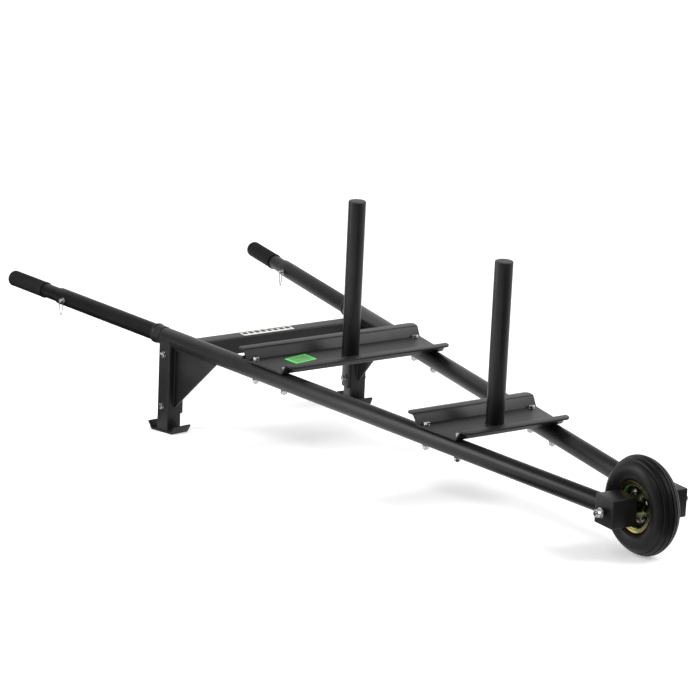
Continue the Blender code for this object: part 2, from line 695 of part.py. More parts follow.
def make_rim(side):
    """One pressed half of the rim: bolted disc, dish, bead seat and rolled flange."""
    sign = SIDES[side]
    flat = RIM_SHEET / 2 + GAP
    line = [
        (HUB_R + 0.0006, flat), (0.0440, flat), (0.0490, flat + 0.0040), (0.0515, 0.0160),
        (0.0560, 0.0232), (0.0640, 0.0246), (0.0680, 0.0258),
    ]
    rim = turned(f"rim_{side}", list(reversed(line)), WHEEL_STEPS, closed=False)
    sheet = rim.modifiers.new("sheet", "SOLIDIFY")
    sheet.thickness = RIM_SHEET
    sheet.offset = 0
    finish(rim, YELLOW_ZINC, wheel_frame, rotation=(-sign * pi / 2, 0, 0))
    boolean(rim, cutter(rods(f"rim_holes_{side}", 0.0046, 0.03, rim_bolt_places(), "Y", 8), wheel_frame))
    if side == "left":
        hole = rods("valve_hole", 0.0047, 0.02, [(0.0440, 0.008, 0)], "Y", 10)
        boolean(rim, cutter(hole, wheel_frame, (0, 0, 0), (0, radians(-100), 0)))


def rim_bolt_places():
    angles = [RIM_BOLT_TURN + i * pi / 2 for i in range(4)]
    return [(RIM_BOLT_RING * cos(a), 0, RIM_BOLT_RING * sin(a)) for a in angles]


def make_rim_bolts():
    # Heights run to the operator's right, the side with the nuts and thread ends.
    face = RIM_SHEET + 2 * GAP
    for i, place in enumerate(rim_bolt_places()):
        levels = [
            (8, 0.0039, -face - 0.001, face + 0.0115),
            (6, 0.0074, -face - 0.0053, -face),
            (6, 0.0074, face, face + 0.0080),
        ]
        fused(f"rim_bolt_{i + 1}", levels, wheel_frame, place, (pi / 2, 0, 0))


def crown(y):
    """Radius of the tyre's rounded tread at a distance from its middle."""
    share = (1 - (abs(y) / TYRE_HALF) ** TYRE_ROUND) ** (1 / TYRE_ROUND)
    return TYRE_FLANK_R + (WHEEL_RADIUS - TYRE_FLANK_R) * share


def make_tyre():
    """A grooved, rounded tread over a hollow casing, open at the beads towards the rim."""
    half = []
    for middle in GROOVES:
        if middle:
            half.append((crown(middle - GROOVE_HALF), middle - GROOVE_HALF))
        half.append((crown(middle) - GROOVE_DEPTH, middle))
        half.append((crown(middle + GROOVE_HALF), middle + GROOVE_HALF))
    half += [(crown(y), y) for y in (0.0205, 0.0280, 0.0345, 0.0390)]
    half += [(0.0930, 0.0393), (0.0810, 0.0362), (0.0735, 0.0300), (0.0706, 0.0250),
             (0.0580, 0.0212), (0.0560, 0.0140)]
    inside = [(0.0680, 0.0160), (0.0900, 0.0310), (0.1120, 0.0230)]
    # Down the outer side from one bead to the other, and back round the inside.
    loop = [(r, z) for r, z in reversed(half)] + [(r, -z) for r, z in half[1:]]
    loop += [(r, -z) for r, z in inside] + [(r, z) for r, z in reversed(inside)]
    finish(turned("tyre", loop, WHEEL_STEPS), TYRE, wheel_frame, rotation=(pi / 2, 0, 0))


def make_valve():
    """The inflation stem, through the left half of the rim."""
    profile = [
        (0, 0.0330), (0.0036, 0.0322), (0.0036, 0.0240), (0.0030, 0.0236), (0.0030, 0.0200),
        (0.0040, 0.0180), (0.0040, 0.0032), (0, 0.0032),
    ]
    stem = turned("valve", profile, 10, closed=False)
    angle = radians(-100)
    finish(stem, CAP, wheel_frame, (0.0440 * cos(angle), 0, -0.0440 * sin(angle)), (-pi / 2, 0, 0))


for side_name in SIDES:
    make_rail(side_name)
    make_sleeve(side_name)
    make_rear_tube(side_name)
    make_handle(side_name)
    make_grip(side_name)
    make_pin(side_name)
    make_bail(side_name)
    make_dome_bolt(side_name)
    make_leg(side_name)
    make_hanger(side_name)
    make_gusset(side_name)
    make_foot(side_name)
    make_leg_bolts(side_name)
    make_axle_box(side_name)
    make_spacer(side_name)
    make_bearing(side_name)
    make_rim(side_name)
for tray_name, tray_centre in TRAY_CENTRES.items():
    make_tray(tray_name, tray_centre)
    make_post(tray_name, tray_centre)
    make_tray_bolts(tray_name, tray_centre)
make_crossbeam()
make_axle()
make_hub()
make_rim_bolts()
make_tyre()
make_valve()
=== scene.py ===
# Plate-loaded wheelbarrow: the finish of every piece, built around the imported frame.
import json
from math import atan2, cos, pi, radians, sin, sqrt

import bmesh
import bpy
from mathutils import Matrix, Vector


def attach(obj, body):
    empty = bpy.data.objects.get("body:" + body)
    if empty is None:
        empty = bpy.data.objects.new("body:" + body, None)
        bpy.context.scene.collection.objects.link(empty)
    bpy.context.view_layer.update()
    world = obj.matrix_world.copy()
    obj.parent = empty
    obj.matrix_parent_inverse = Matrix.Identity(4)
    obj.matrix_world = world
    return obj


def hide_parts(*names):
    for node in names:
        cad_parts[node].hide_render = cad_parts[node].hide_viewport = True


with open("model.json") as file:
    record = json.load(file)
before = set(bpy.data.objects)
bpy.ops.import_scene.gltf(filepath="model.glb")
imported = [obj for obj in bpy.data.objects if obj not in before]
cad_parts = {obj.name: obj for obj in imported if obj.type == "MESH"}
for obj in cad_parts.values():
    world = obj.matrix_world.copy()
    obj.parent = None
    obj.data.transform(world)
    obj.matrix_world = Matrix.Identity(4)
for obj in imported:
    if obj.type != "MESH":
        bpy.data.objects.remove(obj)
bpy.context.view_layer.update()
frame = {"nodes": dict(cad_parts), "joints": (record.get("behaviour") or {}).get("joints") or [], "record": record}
joints = {joint["name"]: joint for joint in frame["joints"]}
sides = {"right": -1, "left": 1}

# The frames that the barrow is laid out in, read from its joints. In a rail's frame X runs
# forward along the rail, Y to the operator's left and Z stands square to the rail.
layout = {"railStartY": 0.0737, "gap": 0.0003}
gap = layout["gap"]   # left between neighbouring pieces
axle = Vector(joints["wheel_spin"]["pos_m"])
across = Vector((0, 1, 0))
railAlong = {side: -Vector(joints[f"handle_slide_{side}"]["axis"]).normalized() for side in sides}
slopeAlong = (railAlong["right"] + railAlong["left"]).normalized()
slopeUp = slopeAlong.cross(across).normalized()
splayCos = railAlong["right"].dot(slopeAlong)
splayTan = abs(railAlong["right"].y) / splayCos


def frameOf(x, y, z, origin):
    return Matrix((
        (x.x, y.x, z.x, origin.x), (x.y, y.y, z.y, origin.y), (x.z, y.z, z.z, origin.z), (0, 0, 0, 1)))


slopeFrame = frameOf(slopeAlong, across, slopeUp, axle)
wheelFrame = Matrix.Translation(axle)
railFrame = {
    side: frameOf(railAlong[side], slopeUp.cross(railAlong[side]), slopeUp,
                  axle + across * sign * layout["railStartY"])
    for side, sign in sides.items()
}
railYaw = {side: Matrix.Rotation(atan2(railAlong[side].y, railAlong[side].x), 4, "Z") for side in sides}
alongX = Matrix.Rotation(pi / 2, 4, "Y")      # a turned piece's own Z laid along +X
pinAxis = Matrix.Rotation(pi / 2, 4, "X")     # and along -Y, to the operator's right
leftAxis = Matrix.Rotation(-pi / 2, 4, "X")   # and along +Y
outward = {"right": pinAxis, "left": leftAxis}


def onRail(side, x, y=0, z=0):
    return railFrame[side] @ Matrix.Translation((x, y, z))


def onSlope(x, y=0, z=0):
    return slopeFrame @ Matrix.Translation((x, y, z))


def spun(degrees):
    return Matrix.Rotation(radians(degrees), 4, "Z")


def railY(along):
    return layout["railStartY"] - along * splayTan


def stationOf(side, along, y):
    # the place along a rail, at y beside its middle, of a cut square to the slope
    lean = slopeUp.cross(railAlong[side]).dot(slopeAlong)
    return (along - y * lean) / splayCos


# Materials

def feed(node, inputs):
    # an input takes a plain value, or is linked to another node's output
    for name, value in inputs.items():
        if isinstance(value, bpy.types.NodeSocket):
            node.id_data.links.new(value, node.inputs[name])
        else:
            node.inputs[name].default_value = value


def addNode(tree, kind, inputs, operation=None):
    node = tree.nodes.new("ShaderNode" + kind)
    if operation:
        node.operation = operation
    feed(node, inputs)
    return node


def newMaterial(name, colour, roughness, metallic=0.0, specular=0.5):
    mat = bpy.data.materials.new(name)
    mat.use_nodes = True
    shader = mat.node_tree.nodes["Principled BSDF"]
    feed(shader, {"Base Color": (*colour, 1), "Roughness": roughness, "Metallic": metallic,
                  "Specular IOR Level": specular})
    return mat, mat.node_tree, shader


def objectNoise(tree, scale, detail, rough=0.5):
    coords = addNode(tree, "TexCoord", {})
    noise = addNode(tree, "TexNoise", {"Vector": coords.outputs["Object"], "Scale": scale, "Detail": detail,
                                       "Roughness": rough})
    return noise.outputs["Fac"]


def rampOf(tree, source, stops):
    ramp = addNode(tree, "ValToRGB", {"Fac": source})
    elements = ramp.color_ramp.elements
    while len(elements) < len(stops):
        elements.new(0.5)
    for element, (place, colour) in zip(elements, stops):
        element.position = place
        element.color = (*colour, 1)
    return ramp.outputs["Color"]


def mottled(tree, scale, detail, tone, other, low=0.3, high=0.7):
    # one tone passes into the other in soft patches
    return rampOf(tree, objectNoise(tree, scale, detail), [(low, tone), (high, other)])


def spread(tree, source, low, high):
    span = addNode(tree, "MapRange", {"Value": source, "From Min": 0.3, "From Max": 0.7, "To Min": low,
                                      "To Max": high})
    return span.outputs["Result"]


def addBump(tree, shader, source, depth, strength):
    bump = addNode(tree, "Bump", {"Height": source, "Distance": depth, "Strength": strength})
    feed(shader, {"Normal": bump.outputs["Normal"]})


powder = {"dark": (0.0085, 0.0085, 0.0088), "light": (0.0128, 0.0128, 0.0132), "grain": 900, "cloud": 14,
          "specular": 0.23, "wander": 0.05, "bump": 0.00012}


def powderCoat(name, roughness, depth=1.0):
    # depth 1 is the frame's satin; less darkens the same paint's colour and sheen, a painted shade
    dark, light = (tuple(part * depth for part in powder[tone]) for tone in ("dark", "light"))
    mat, tree, shader = newMaterial(name, dark, roughness, specular=powder["specular"] * depth)
    grain = objectNoise(tree, powder["grain"], 2)
    rough = spread(tree, grain, roughness - powder["wander"], roughness + powder["wander"])
    feed(shader, {"Base Color": mottled(tree, powder["cloud"], 4, dark, light), "Roughness": rough})
    addBump(tree, shader, grain, powder["bump"], 0.5)
    return mat


def zincPlate(name, roughness, dull=(0.31, 0.34, 0.37), bright=(0.48, 0.49, 0.50)):
    mat, tree, shader = newMaterial(name, bright, roughness, 1.0)
    rough = spread(tree, objectNoise(tree, 900, 2), roughness - 0.06, roughness + 0.10)
    feed(shader, {"Base Color": mottled(tree, 260, 3, dull, bright), "Roughness": rough})
    return mat


# ring colours: the plating's own tints, with the dish's middle rings darkened as a painted dark reflection
yellowPlateAndDarkReflection = {
    "hub": 0.015, "lip": 0.070, "wander": 0.10, "roughness": 0.20, "plain": (0.42, 0.34, 0.10),
    "rings": [(0.00, (0.12, 0.12, 0.04)), (0.30, (0.05, 0.08, 0.03)), (0.46, (0.16, 0.06, 0.08)),
              (0.58, (0.03, 0.06, 0.03)), (0.70, (0.04, 0.08, 0.03)), (0.80, (0.09, 0.12, 0.03)),
              (0.87, (0.19, 0.16, 0.04)), (0.93, (0.19, 0.10, 0.05)), (0.98, (0.20, 0.13, 0.04))],
}


def yellowZincAndDarkReflection(name):
    # plating tints in rings round the axle, a little uneven; the dish's middle rings carry a painted dark
    # reflection
    mat, tree, shader = newMaterial(name, yellowPlateAndDarkReflection["plain"], yellowPlateAndDarkReflection["roughness"], 1.0)
    coords = addNode(tree, "TexCoord", {})
    centred = addNode(tree, "Mapping", {"Vector": coords.outputs["Object"],
                                        "Location": (-axle.x, 0, -axle.z), "Scale": (1, 0, 1)})
    reach = addNode(tree, "VectorMath", {0: centred.outputs["Vector"]}, "LENGTH")
    span = addNode(tree, "MapRange", {"Value": reach.outputs["Value"], "From Min": yellowPlateAndDarkReflection["hub"],
                                      "From Max": yellowPlateAndDarkReflection["lip"]})
    wander = yellowPlateAndDarkReflection["wander"]
    wavy = addNode(tree, "Math", {0: objectNoise(tree, 42, 2, 0.4), 1: wander * 2,
                                  2: span.outputs["Result"]}, "MULTIPLY_ADD")
    shift = addNode(tree, "Math", {0: wavy.outputs[0], 1: wander}, "SUBTRACT")
    feed(shader, {"Base Color": rampOf(tree, shift.outputs[0], yellowPlateAndDarkReflection["rings"]),
                  "Roughness": spread(tree, objectNoise(tree, 500, 3), 0.14, 0.28)})
    return mat


def rubber(name, tone, roughness, grainScale, depth, specular=0.25):
    mat, tree, shader = newMaterial(name, tone, roughness, specular=specular)
    dull = tuple(part * 1.45 for part in tone)
    grain = objectNoise(tree, grainScale, 3)
    feed(shader, {"Base Color": mottled(tree, 22, 5, tone, dull, 0.32, 0.72),
                  "Roughness": spread(tree, grain, roughness - 0.06, roughness + 0.08)})
    addBump(tree, shader, grain, depth, 0.4)
    return mat


def printedFilm(name, colour, roughness):
    mat, tree, shader = newMaterial(name, colour, roughness)
    pale = tuple(min(1.0, part * 1.12) for part in colour)
    feed(shader, {"Base Color": mottled(tree, 120, 3, colour, pale)})
    return mat


blackCoat = powderCoat("blackPowderCoat", 0.36)
weldCoat = powderCoat("coatedWeld", 0.36)
# the handle tubes and rear tubes take a darker copy of the frame's paint, a painted shade
handleShadedCoat = powderCoat("handlePaintedShadeCoat", 0.38, 0.5)
gripRubber = rubber("gripRubber", (0.0062, 0.0060, 0.0060), 0.66, 700, 0.00010, 0.15)
tyreRubber = rubber("tyreRubber", (0.0064, 0.0059, 0.0056), 0.40, 900, 0.00008, 0.15)
capPlastic = rubber("capPlastic", (0.0300, 0.0300, 0.0305), 0.45, 800, 0.00006)
brightZinc = zincPlate("brightZinc", 0.20)
bearingSteel = zincPlate("bearingSteel", 0.34)
pinSteel = zincPlate("pinSteel", 0.26, (0.26, 0.27, 0.29), (0.40, 0.41, 0.43))
wireSteel = zincPlate("wireSteel", 0.30, (0.07, 0.07, 0.08), (0.14, 0.14, 0.15))
rimPlateAndDarkReflection = yellowZincAndDarkReflection("yellowZincPlateAndDarkReflection")
greenFilm = printedFilm("greenFilm", (0.050, 0.78, 0.090), 0.42)
greyGreenFilm = printedFilm("greyGreenFilm", (0.095, 0.300, 0.085), 0.42)
whiteFilm = printedFilm("whiteFilm", (0.74, 0.71, 0.68), 0.45)
darkFilm = printedFilm("darkFilm", (0.020, 0.017, 0.016), 0.45)
slotFinish = {
    "black": blackCoat, "grip_rubber": gripRubber, "zinc": brightZinc, "yellow_zinc": rimPlateAndDarkReflection,
    "bearing_steel": bearingSteel, "tyre_rubber": tyreRubber, "cap_plastic": capPlastic,
}
for subpart in frame["record"]["subparts"]:
    slots = frame["nodes"][subpart["node"]].data.materials
    slots.clear()
    slots.append(slotFinish[subpart["material_slot"]])
print("materials ready")


# Objects and pieces

def meshFrom(name, bm):
    mesh = bpy.data.meshes.new(name)
    bm.to_mesh(mesh)
    bm.free()
    return mesh


def newObject(name, data):
    obj = bpy.data.objects.new(name, data)
    bpy.context.scene.collection.objects.link(obj)
    return obj


def shapeOf(obj):
    # the shape that a helper object's curve or modifiers give; the object itself goes
    mesh = bpy.data.meshes.new_from_object(obj.evaluated_get(bpy.context.evaluated_depsgraph_get()))
    bm = bmesh.new()
    bm.from_mesh(mesh)
    bpy.data.objects.remove(obj)
    bpy.data.meshes.remove(mesh)
    return bm


def merged(target, source):
    mesh = meshFrom("merge", source)
    target.from_mesh(mesh)
    bpy.data.meshes.remove(mesh)
    return target


def addPiece(name, bm, node=None, slotName="black", finish=None, body="frame", smooth=38):
    mesh = meshFrom(name, bm)
    obj = newObject(name, mesh)
    mesh.materials.append(finish or slotFinish[slotName])
    mesh.shade_smooth()
    mesh.set_sharp_from_angle(angle=radians(smooth))
    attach(obj, body)
    if node:
        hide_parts(node)


def addNamed(stem, word, bm, node, slotName="black", finish=None, body="frame"):
    # for the pieces that a side, a place or a number tells apart
    addPiece(stem + word.capitalize(), bm, f"{node}_{word}", slotName, finish, body)


# Shapes

def moved(bm, place):
    bmesh.ops.transform(bm, matrix=place, verts=bm.verts)
    return bm


def faceOut(bm):
    bmesh.ops.recalc_face_normals(bm, faces=bm.faces)


def roundOff(bm, geom, width, segments, affect="EDGES", clamp=False):
    bmesh.ops.bevel(bm, geom=geom, offset=width, offset_type="OFFSET", affect=affect, segments=segments,
                    profile=0.5, material=-1, clamp_overlap=clamp)


def soften(bm, width, segments, angle):
    edges = [e for e in bm.edges if len(e.link_faces) == 2 and e.calc_face_angle() > radians(angle)]
    roundOff(bm, edges, width, segments, clamp=True)


def cutAway(bm, point, normal, close=False):
    # takes off what lies beyond a plane, and closes the cut if asked
    cut = bmesh.ops.bisect_plane(bm, geom=bm.verts[:] + bm.edges[:] + bm.faces[:], dist=0.000001,
                                 plane_co=point, plane_no=normal, clear_outer=True)
    if close:
        rimEdges = [g for g in cut["geom_cut"] if isinstance(g, bmesh.types.BMEdge)]
        bmesh.ops.contextual_create(bm, geom=rimEdges)


def roundedLine(points, radius, steps):
    line = [Vector(points[0])]
    for before, corner, after in zip(points, points[1:], points[2:]):
        corner = Vector(corner)
        back, ahead = Vector(before) - corner, Vector(after) - corner
        room = min(back.length, ahead.length) * 0.48
        back.normalize()
        ahead.normalize()
        half = back.angle(ahead, pi) / 2
        if half > radians(86):
            line.append(corner)
            continue
        fit = min(radius, room * sin(half) / cos(half))
        centre = corner + (back + ahead).normalized() * fit / sin(half)
        start = corner + back * fit * cos(half) / sin(half) - centre
        turn = start.angle_signed(corner + ahead * fit * cos(half) / sin(half) - centre)
        line += [centre + Matrix.Rotation(-turn * i / steps, 2) @ start for i in range(steps + 1)]
    line.append(Vector(points[-1]))
    return line


def turned(profile, steps, place=Matrix(), closed=False, rounding=0.0, arc=3):
    # a closed profile that is rounded starts and ends at one point, which counts once
    if rounding:
        profile = roundedLine(profile, rounding, arc)
        if closed:
            profile.pop()
    bm = bmesh.new()
    chain = [bm.verts.new((r, 0, z)) for r, z in profile]
    edges = [bm.edges.new(pair) for pair in zip(chain, chain[1:])]
    if closed:
        edges.append(bm.edges.new((chain[-1], chain[0])))
    bmesh.ops.spin(bm, geom=chain + edges, cent=(0, 0, 0), axis=(0, 0, 1), angle=2 * pi,
                   steps=steps, use_merge=True)
    bmesh.ops.remove_doubles(bm, verts=bm.verts, dist=0.000002)
    faceOut(bm)
    return moved(bm, place)


def pipe(outer, inner, low, high, steps, place, edge=0.0006):
    middle = (outer, (low + high) / 2)
    profile = [middle, (outer, low), (inner, low), (inner, high), (outer, high), middle]
    return turned(profile, steps, place, True, edge)


def block(*size):
    bm = bmesh.new()
    bmesh.ops.create_cube(bm, size=1, matrix=Matrix.Diagonal((*size, 1)))
    return bm


def bar(size, corner, place):
    # a rounded square bar; the four long edges take the corner radius
    bm = block(*size)
    length = max(size)
    longEdges = [e for e in bm.edges if e.calc_length() > 0.5 * length]
    roundOff(bm, longEdges, corner, 5)
    return moved(bm, place)


def onlyVerts(geom):
    return [g for g in geom if isinstance(g, bmesh.types.BMVert)]


def rectangle(x, y, farX, farY):
    return [(x, y), (farX, y), (farX, farY), (x, farY)]


def plate(corners, radius, thickness, place, edge=0.0006):
    bm = bmesh.new()
    face = bm.faces.new([bm.verts.new((x, y, -thickness / 2)) for x, y in corners])
    if radius:
        roundOff(bm, list(face.verts), radius, 8, "VERTICES")
    lifted = bmesh.ops.extrude_face_region(bm, geom=bm.faces[:])["geom"]
    bmesh.ops.translate(bm, vec=(0, 0, thickness), verts=onlyVerts(lifted))
    faceOut(bm)
    soften(bm, edge, 2, 60)
    return moved(bm, place)


def drawnSheet(line, width):
    # a line in X and Z, drawn out along Y and still without a wall
    bm = bmesh.new()
    row = [bm.verts.new((x, -width / 2, z)) for x, z in line]
    swept = bmesh.ops.extrude_edge_only(bm, edges=[bm.edges.new(pair) for pair in zip(row, row[1:])])
    bmesh.ops.translate(bm, vec=(0, width, 0), verts=onlyVerts(swept["geom"]))
    return bm


def thicken(bm, sheet, edge):
    # the wall grows upwards from a sheet that lies on its underside
    faceOut(bm)
    flat = max(bm.faces, key=lambda f: f.calc_area())
    bmesh.ops.solidify(bm, geom=bm.faces[:], thickness=-sheet if flat.normal.z > 0 else sheet)
    faceOut(bm)
    soften(bm, edge, 3, 50)


def wireAlong(spots, radius, resolution, closed):
    # a round wire through the spots, each of them a place and the swell of the wire there
    curve = bpy.data.curves.new("wire", "CURVE")
    curve.dimensions = "3D"
    curve.bevel_depth = radius
    curve.bevel_resolution = resolution
    curve.use_fill_caps = not closed
    spline = curve.splines.new("POLY")
    spline.points.add(len(spots) - 1)
    for point, (place, swell) in zip(spline.points, spots):
        point.co = (*place, 1)
        point.radius = swell
    spline.use_cyclic_u = closed
    return shapeOf(newObject("wire", curve))


def cutHoles(bm, radius, length, places, place, turn, facets=20):
    # drills round holes through a closed shape and gives the drilled shape back
    tool = bmesh.new()
    for spot in places:
        bmesh.ops.create_cone(tool, cap_ends=True, segments=facets, radius1=radius, radius2=radius,
                              depth=length, matrix=place @ Matrix.Translation(spot) @ turn)
    stock = newObject("stock", meshFrom("stock", bm))
    drill = newObject("drill", meshFrom("drill", tool))
    cut = stock.modifiers.new("holes", "BOOLEAN")
    cut.operation = "DIFFERENCE"
    cut.solver = "EXACT"
    cut.object = drill
    drilled = shapeOf(stock)
    bpy.data.objects.remove(drill)
    return drilled


# Rails, sleeves and rear tubes

tubes = {
    "railR": 0.0254, "railWall": 0.003, "railBack": -1.866, "railFront": -0.0375,
    "sleeveBack": -1.874, "sleeveFront": -1.836, "sleeveRimR": 0.0290, "sleeveNeckR": 0.0276,
    "rearR": 0.0244, "rearWall": 0.0029, "rearBack": -2.342, "spigotR": 0.0221, "spigotFront": -1.780,
    "pinAt": -2.297, "pinHoleR": 0.0055, "steps": 64,
}
railTop = tubes["railR"] + gap   # where what rests on a rail is seated


def makeRail(side):
    bm = pipe(tubes["railR"], tubes["railR"] - tubes["railWall"], tubes["railBack"], tubes["railFront"],
              tubes["steps"], railFrame[side] @ alongX)
    addNamed("railTube", side, bm, "rail")


def makeSleeve(side):
    back, front, lip = tubes["sleeveBack"], tubes["sleeveFront"], tubes["sleeveRimR"]
    inner, throat, step = railTop, tubes["rearR"] + gap, tubes["railBack"] - gap
    profile = [
        (inner, front - 0.004), (inner + 0.0002, front), (inner + 0.0009, front - 0.003),
        (inner + 0.0012, back + 0.0100), (tubes["sleeveNeckR"], back + 0.0064), (lip, back + 0.0052),
        (lip, back), (throat, back), (throat, step - 0.0007), (inner, step), (inner, front - 0.004),
    ]
    bm = turned(profile, tubes["steps"], railFrame[side] @ alongX, True, 0.0011, 4)
    addNamed("railSleeve", side, bm, "sleeve")


def makeRearTube(side):
    outer, spigot, front = tubes["rearR"], tubes["spigotR"], tubes["spigotFront"]
    bore, spigotBore = outer - tubes["rearWall"], spigot - tubes["rearWall"]
    back, shoulder = tubes["rearBack"], tubes["sleeveBack"] + 0.004
    profile = [
        (outer, back + 0.05), (outer, back), (bore, back), (bore, shoulder - 0.004),
        (spigotBore, shoulder + 0.002), (spigotBore, front), (spigot, front), (spigot, shoulder + 0.004),
        (outer, shoulder), (outer, back + 0.05),
    ]
    bm = turned(profile, tubes["steps"], railFrame[side] @ alongX, True, 0.0005)
    bm = cutHoles(bm, tubes["pinHoleR"], 0.07, [(tubes["pinAt"], 0, 0)], railFrame[side], pinAxis)
    addNamed("rearTube", side, bm, "rear_tube", finish=handleShadedCoat)


# Handles and grips

handle = {"outerR": 0.0210, "wall": 0.0025, "back": -2.5815, "front": -1.950, "holes": 7, "pitch": 0.025,
          "endSheet": 0.003}
grip = {"radius": 0.0237, "length": 0.1645, "knurlDepth": 0.00055, "aroundCount": 34, "sharpness": 14,
        "knurlEase": 0.002, "steps": 204, "rings": 210, "collar": 0.006, "collarR": 0.0243,
        "endRound": 0.0060}


def makeHandle(side):
    outer, back = handle["outerR"], handle["back"] + handle["endSheet"] + gap
    bm = pipe(outer, outer - handle["wall"], back, handle["front"], tubes["steps"],
              railFrame[side] @ alongX)
    places = [(tubes["pinAt"] + i * handle["pitch"], 0, 0) for i in range(handle["holes"])]
    bm = cutHoles(bm, tubes["pinHoleR"], 0.06, places, railFrame[side], pinAxis)
    addNamed("handleTube", side, bm, "handle_tube", finish=handleShadedCoat, body=f"handle_{side}_body")


def makeGrip(side):
    # The knurl is two crossing sets of helical grooves, pressed into the plain sleeve.
    radius, collar, corner, ease = grip["radius"], grip["collarR"], grip["endRound"], grip["knurlEase"]
    back, front = handle["back"], handle["back"] + grip["length"]
    bore, inside, step = handle["outerR"] + gap, back + handle["endSheet"], front - grip["collar"]
    low, high = back + corner + ease, step - 0.001
    profile = [(bore, front), (collar - 0.0005, front), (collar, front - 0.0005), (collar, step + 0.0006),
               (radius, step)]
    count = grip["rings"]
    profile += [(radius, high + (low - high) * i / count) for i in range(count + 1)]
    for i in range(9):
        angle = pi / 2 * i / 8
        profile.append((radius - corner + corner * cos(angle), back + corner - corner * sin(angle)))
    profile += [(0.006, back), (0, back), (0, inside), (bore, inside)]
    bm = turned(profile, grip["steps"], closed=True)
    pitch = 2 * pi * radius / grip["aroundCount"]
    for vert in bm.verts:
        reach, along = vert.co.xy.length, vert.co.z
        if abs(reach - radius) > 0.00001 or not low <= along <= high:
            continue
        around = atan2(vert.co.y, vert.co.x) * grip["aroundCount"]
        climb = (along - low) / pitch * 2 * pi
        groove = max(abs(cos((around + climb) / 2)), abs(cos((around - climb) / 2))) ** grip["sharpness"]
        fade = min(1.0, (along - low) / ease, (high - along) / ease)
        scale = 1 - grip["knurlDepth"] * groove * fade / reach
        vert.co.x *= scale
        vert.co.y *= scale
    addNamed("handleGrip", side, moved(bm, railFrame[side] @ alongX), "grip", "grip_rubber",
             body=f"handle_{side}_body")


# Lock pins and their wire bails

pin = {"radius": 0.005, "headR": 0.0062, "flangeR": 0.0084, "tip": 0.033, "out": 0.0325, "topAbove": 0.0055,
       "chamfer": 0.0012, "point": 0.0025, "ballR": 0.0014, "ballOut": 0.0041, "ballUp": 0.0055,
       "eyeSlack": 0.0008, "wireR": 0.0011, "width": 0.020, "drop": 0.042, "tipHalf": 0.0035, "bend": 0.0030}


def makePin(side):
    seat, tip, top = tubes["rearR"] + gap, -pin["tip"], pin["out"] + pin["topAbove"]
    shank, head, flange, chamfer = pin["radius"], pin["headR"], pin["flangeR"], pin["chamfer"]
    profile = [
        (0, top), (head - chamfer, top), (head, top - chamfer), (head, seat + 0.0026),
        (flange, seat + 0.0020), (flange, seat), (shank, seat), (shank, tip + 0.004),
        (shank - pin["point"], tip), (0, tip),
    ]
    place = onRail(side, tubes["pinAt"]) @ pinAxis
    bm = turned(profile, 40, place, rounding=0.0005)
    # the eye for the bail, and the detent ball near the tip
    bm = cutHoles(bm, pin["wireR"] + pin["eyeSlack"], 0.03, [(tubes["pinAt"], -pin["out"], 0)],
                  railFrame[side], alongX, 16)
    ball = bmesh.new()
    bmesh.ops.create_uvsphere(ball, u_segments=16, v_segments=10, radius=pin["ballR"],
                              matrix=place @ Matrix.Translation((pin["ballOut"], 0, tip + pin["ballUp"])))
    addNamed("lockPin", side, merged(bm, ball), "lock_pin", "zinc", pinSteel, f"lock_pin_{side}_body")


def makeBail(side):
    half, tip, drop = pin["width"] / 2, pin["tipHalf"], pin["drop"]
    loop = [(0, 0), (half, 0), (tip, -drop), (-tip, -drop), (-half, 0), (0, 0)]
    spots = [((x, 0, z), 1) for x, z in roundedLine(loop, pin["bend"], 6)[:-1]]
    bm = moved(wireAlong(spots, pin["wireR"], 4, True), onRail(side, tubes["pinAt"], -pin["out"]))
    addNamed("pinBail", side, bm, "bail", "zinc", wireSteel, f"bail_{side}_body")


# Trays and posts

tray = {"centres": {"rear": -1.3515, "front": -0.6490}, "baseHalf": 0.0742, "rise": 0.0265, "lean": 0.0185,
        "lip": 0.0290, "bend": 0.0055, "sheet": 0.005, "stockWidth": 0.9, "outboard": 0.021,
        "corner": 0.016, "edge": 0.0007}
post = {"radius": 0.02475, "wall": 0.003, "height": 0.448, "capTop": 0.003, "ahead": 0.0075, "steps": 72}
trayTop = railTop + tray["sheet"]


def makeTray(place, centre):
    base, lip = tray["baseHalf"], tray["baseHalf"] + tray["lean"]
    edge = lip + tray["lip"]
    half = roundedLine([(0, 0), (base, 0), (lip, tray["rise"]), (edge, tray["rise"])], tray["bend"], 8)
    line = [(-x, z + railTop) for x, z in reversed(half)] + [(x, z + railTop) for x, z in half[1:]]
    bm = drawnSheet(line, tray["stockWidth"])
    for sign in (-1, 1):
        # both ends are cut along the splay of the rails
        cutAway(bm, (0, sign * (railY(centre) + tray["outboard"]), 0), (splayTan, sign, 0))
    corners = [v for v in bm.verts if abs(abs(v.co.x) - edge) < 0.00001 and len(v.link_edges) == 2]
    roundOff(bm, corners, tray["corner"], 10, "VERTICES")
    thicken(bm, tray["sheet"], tray["edge"])
    addNamed("trayPlate", place, moved(bm, onSlope(centre)), "tray")


def makePost(place, centre):
    radius, base = post["radius"], trayTop + gap
    top = base + post["height"] - post["capTop"]
    spot = onSlope(centre + post["ahead"])
    bm = pipe(radius, radius - post["wall"], base, top, post["steps"], spot, 0.0005)
    addNamed("weightPost", place, bm, "post")
    bore, seat = radius - post["wall"] - gap, top + gap
    profile = [(0, seat + 0.0030), (0.014, seat + 0.0029), (radius - 0.0022, seat + 0.0026),
               (radius, seat + 0.0008), (radius, seat), (bore, seat), (bore, seat - 0.002),
               (bore - 0.0006, seat - 0.014), (0, seat - 0.014)]
    bm = turned(profile, post["steps"], spot, rounding=0.0010, arc=4)
    addNamed("postCap", place, bm, "post_cap", "cap_plastic")


# Fasteners

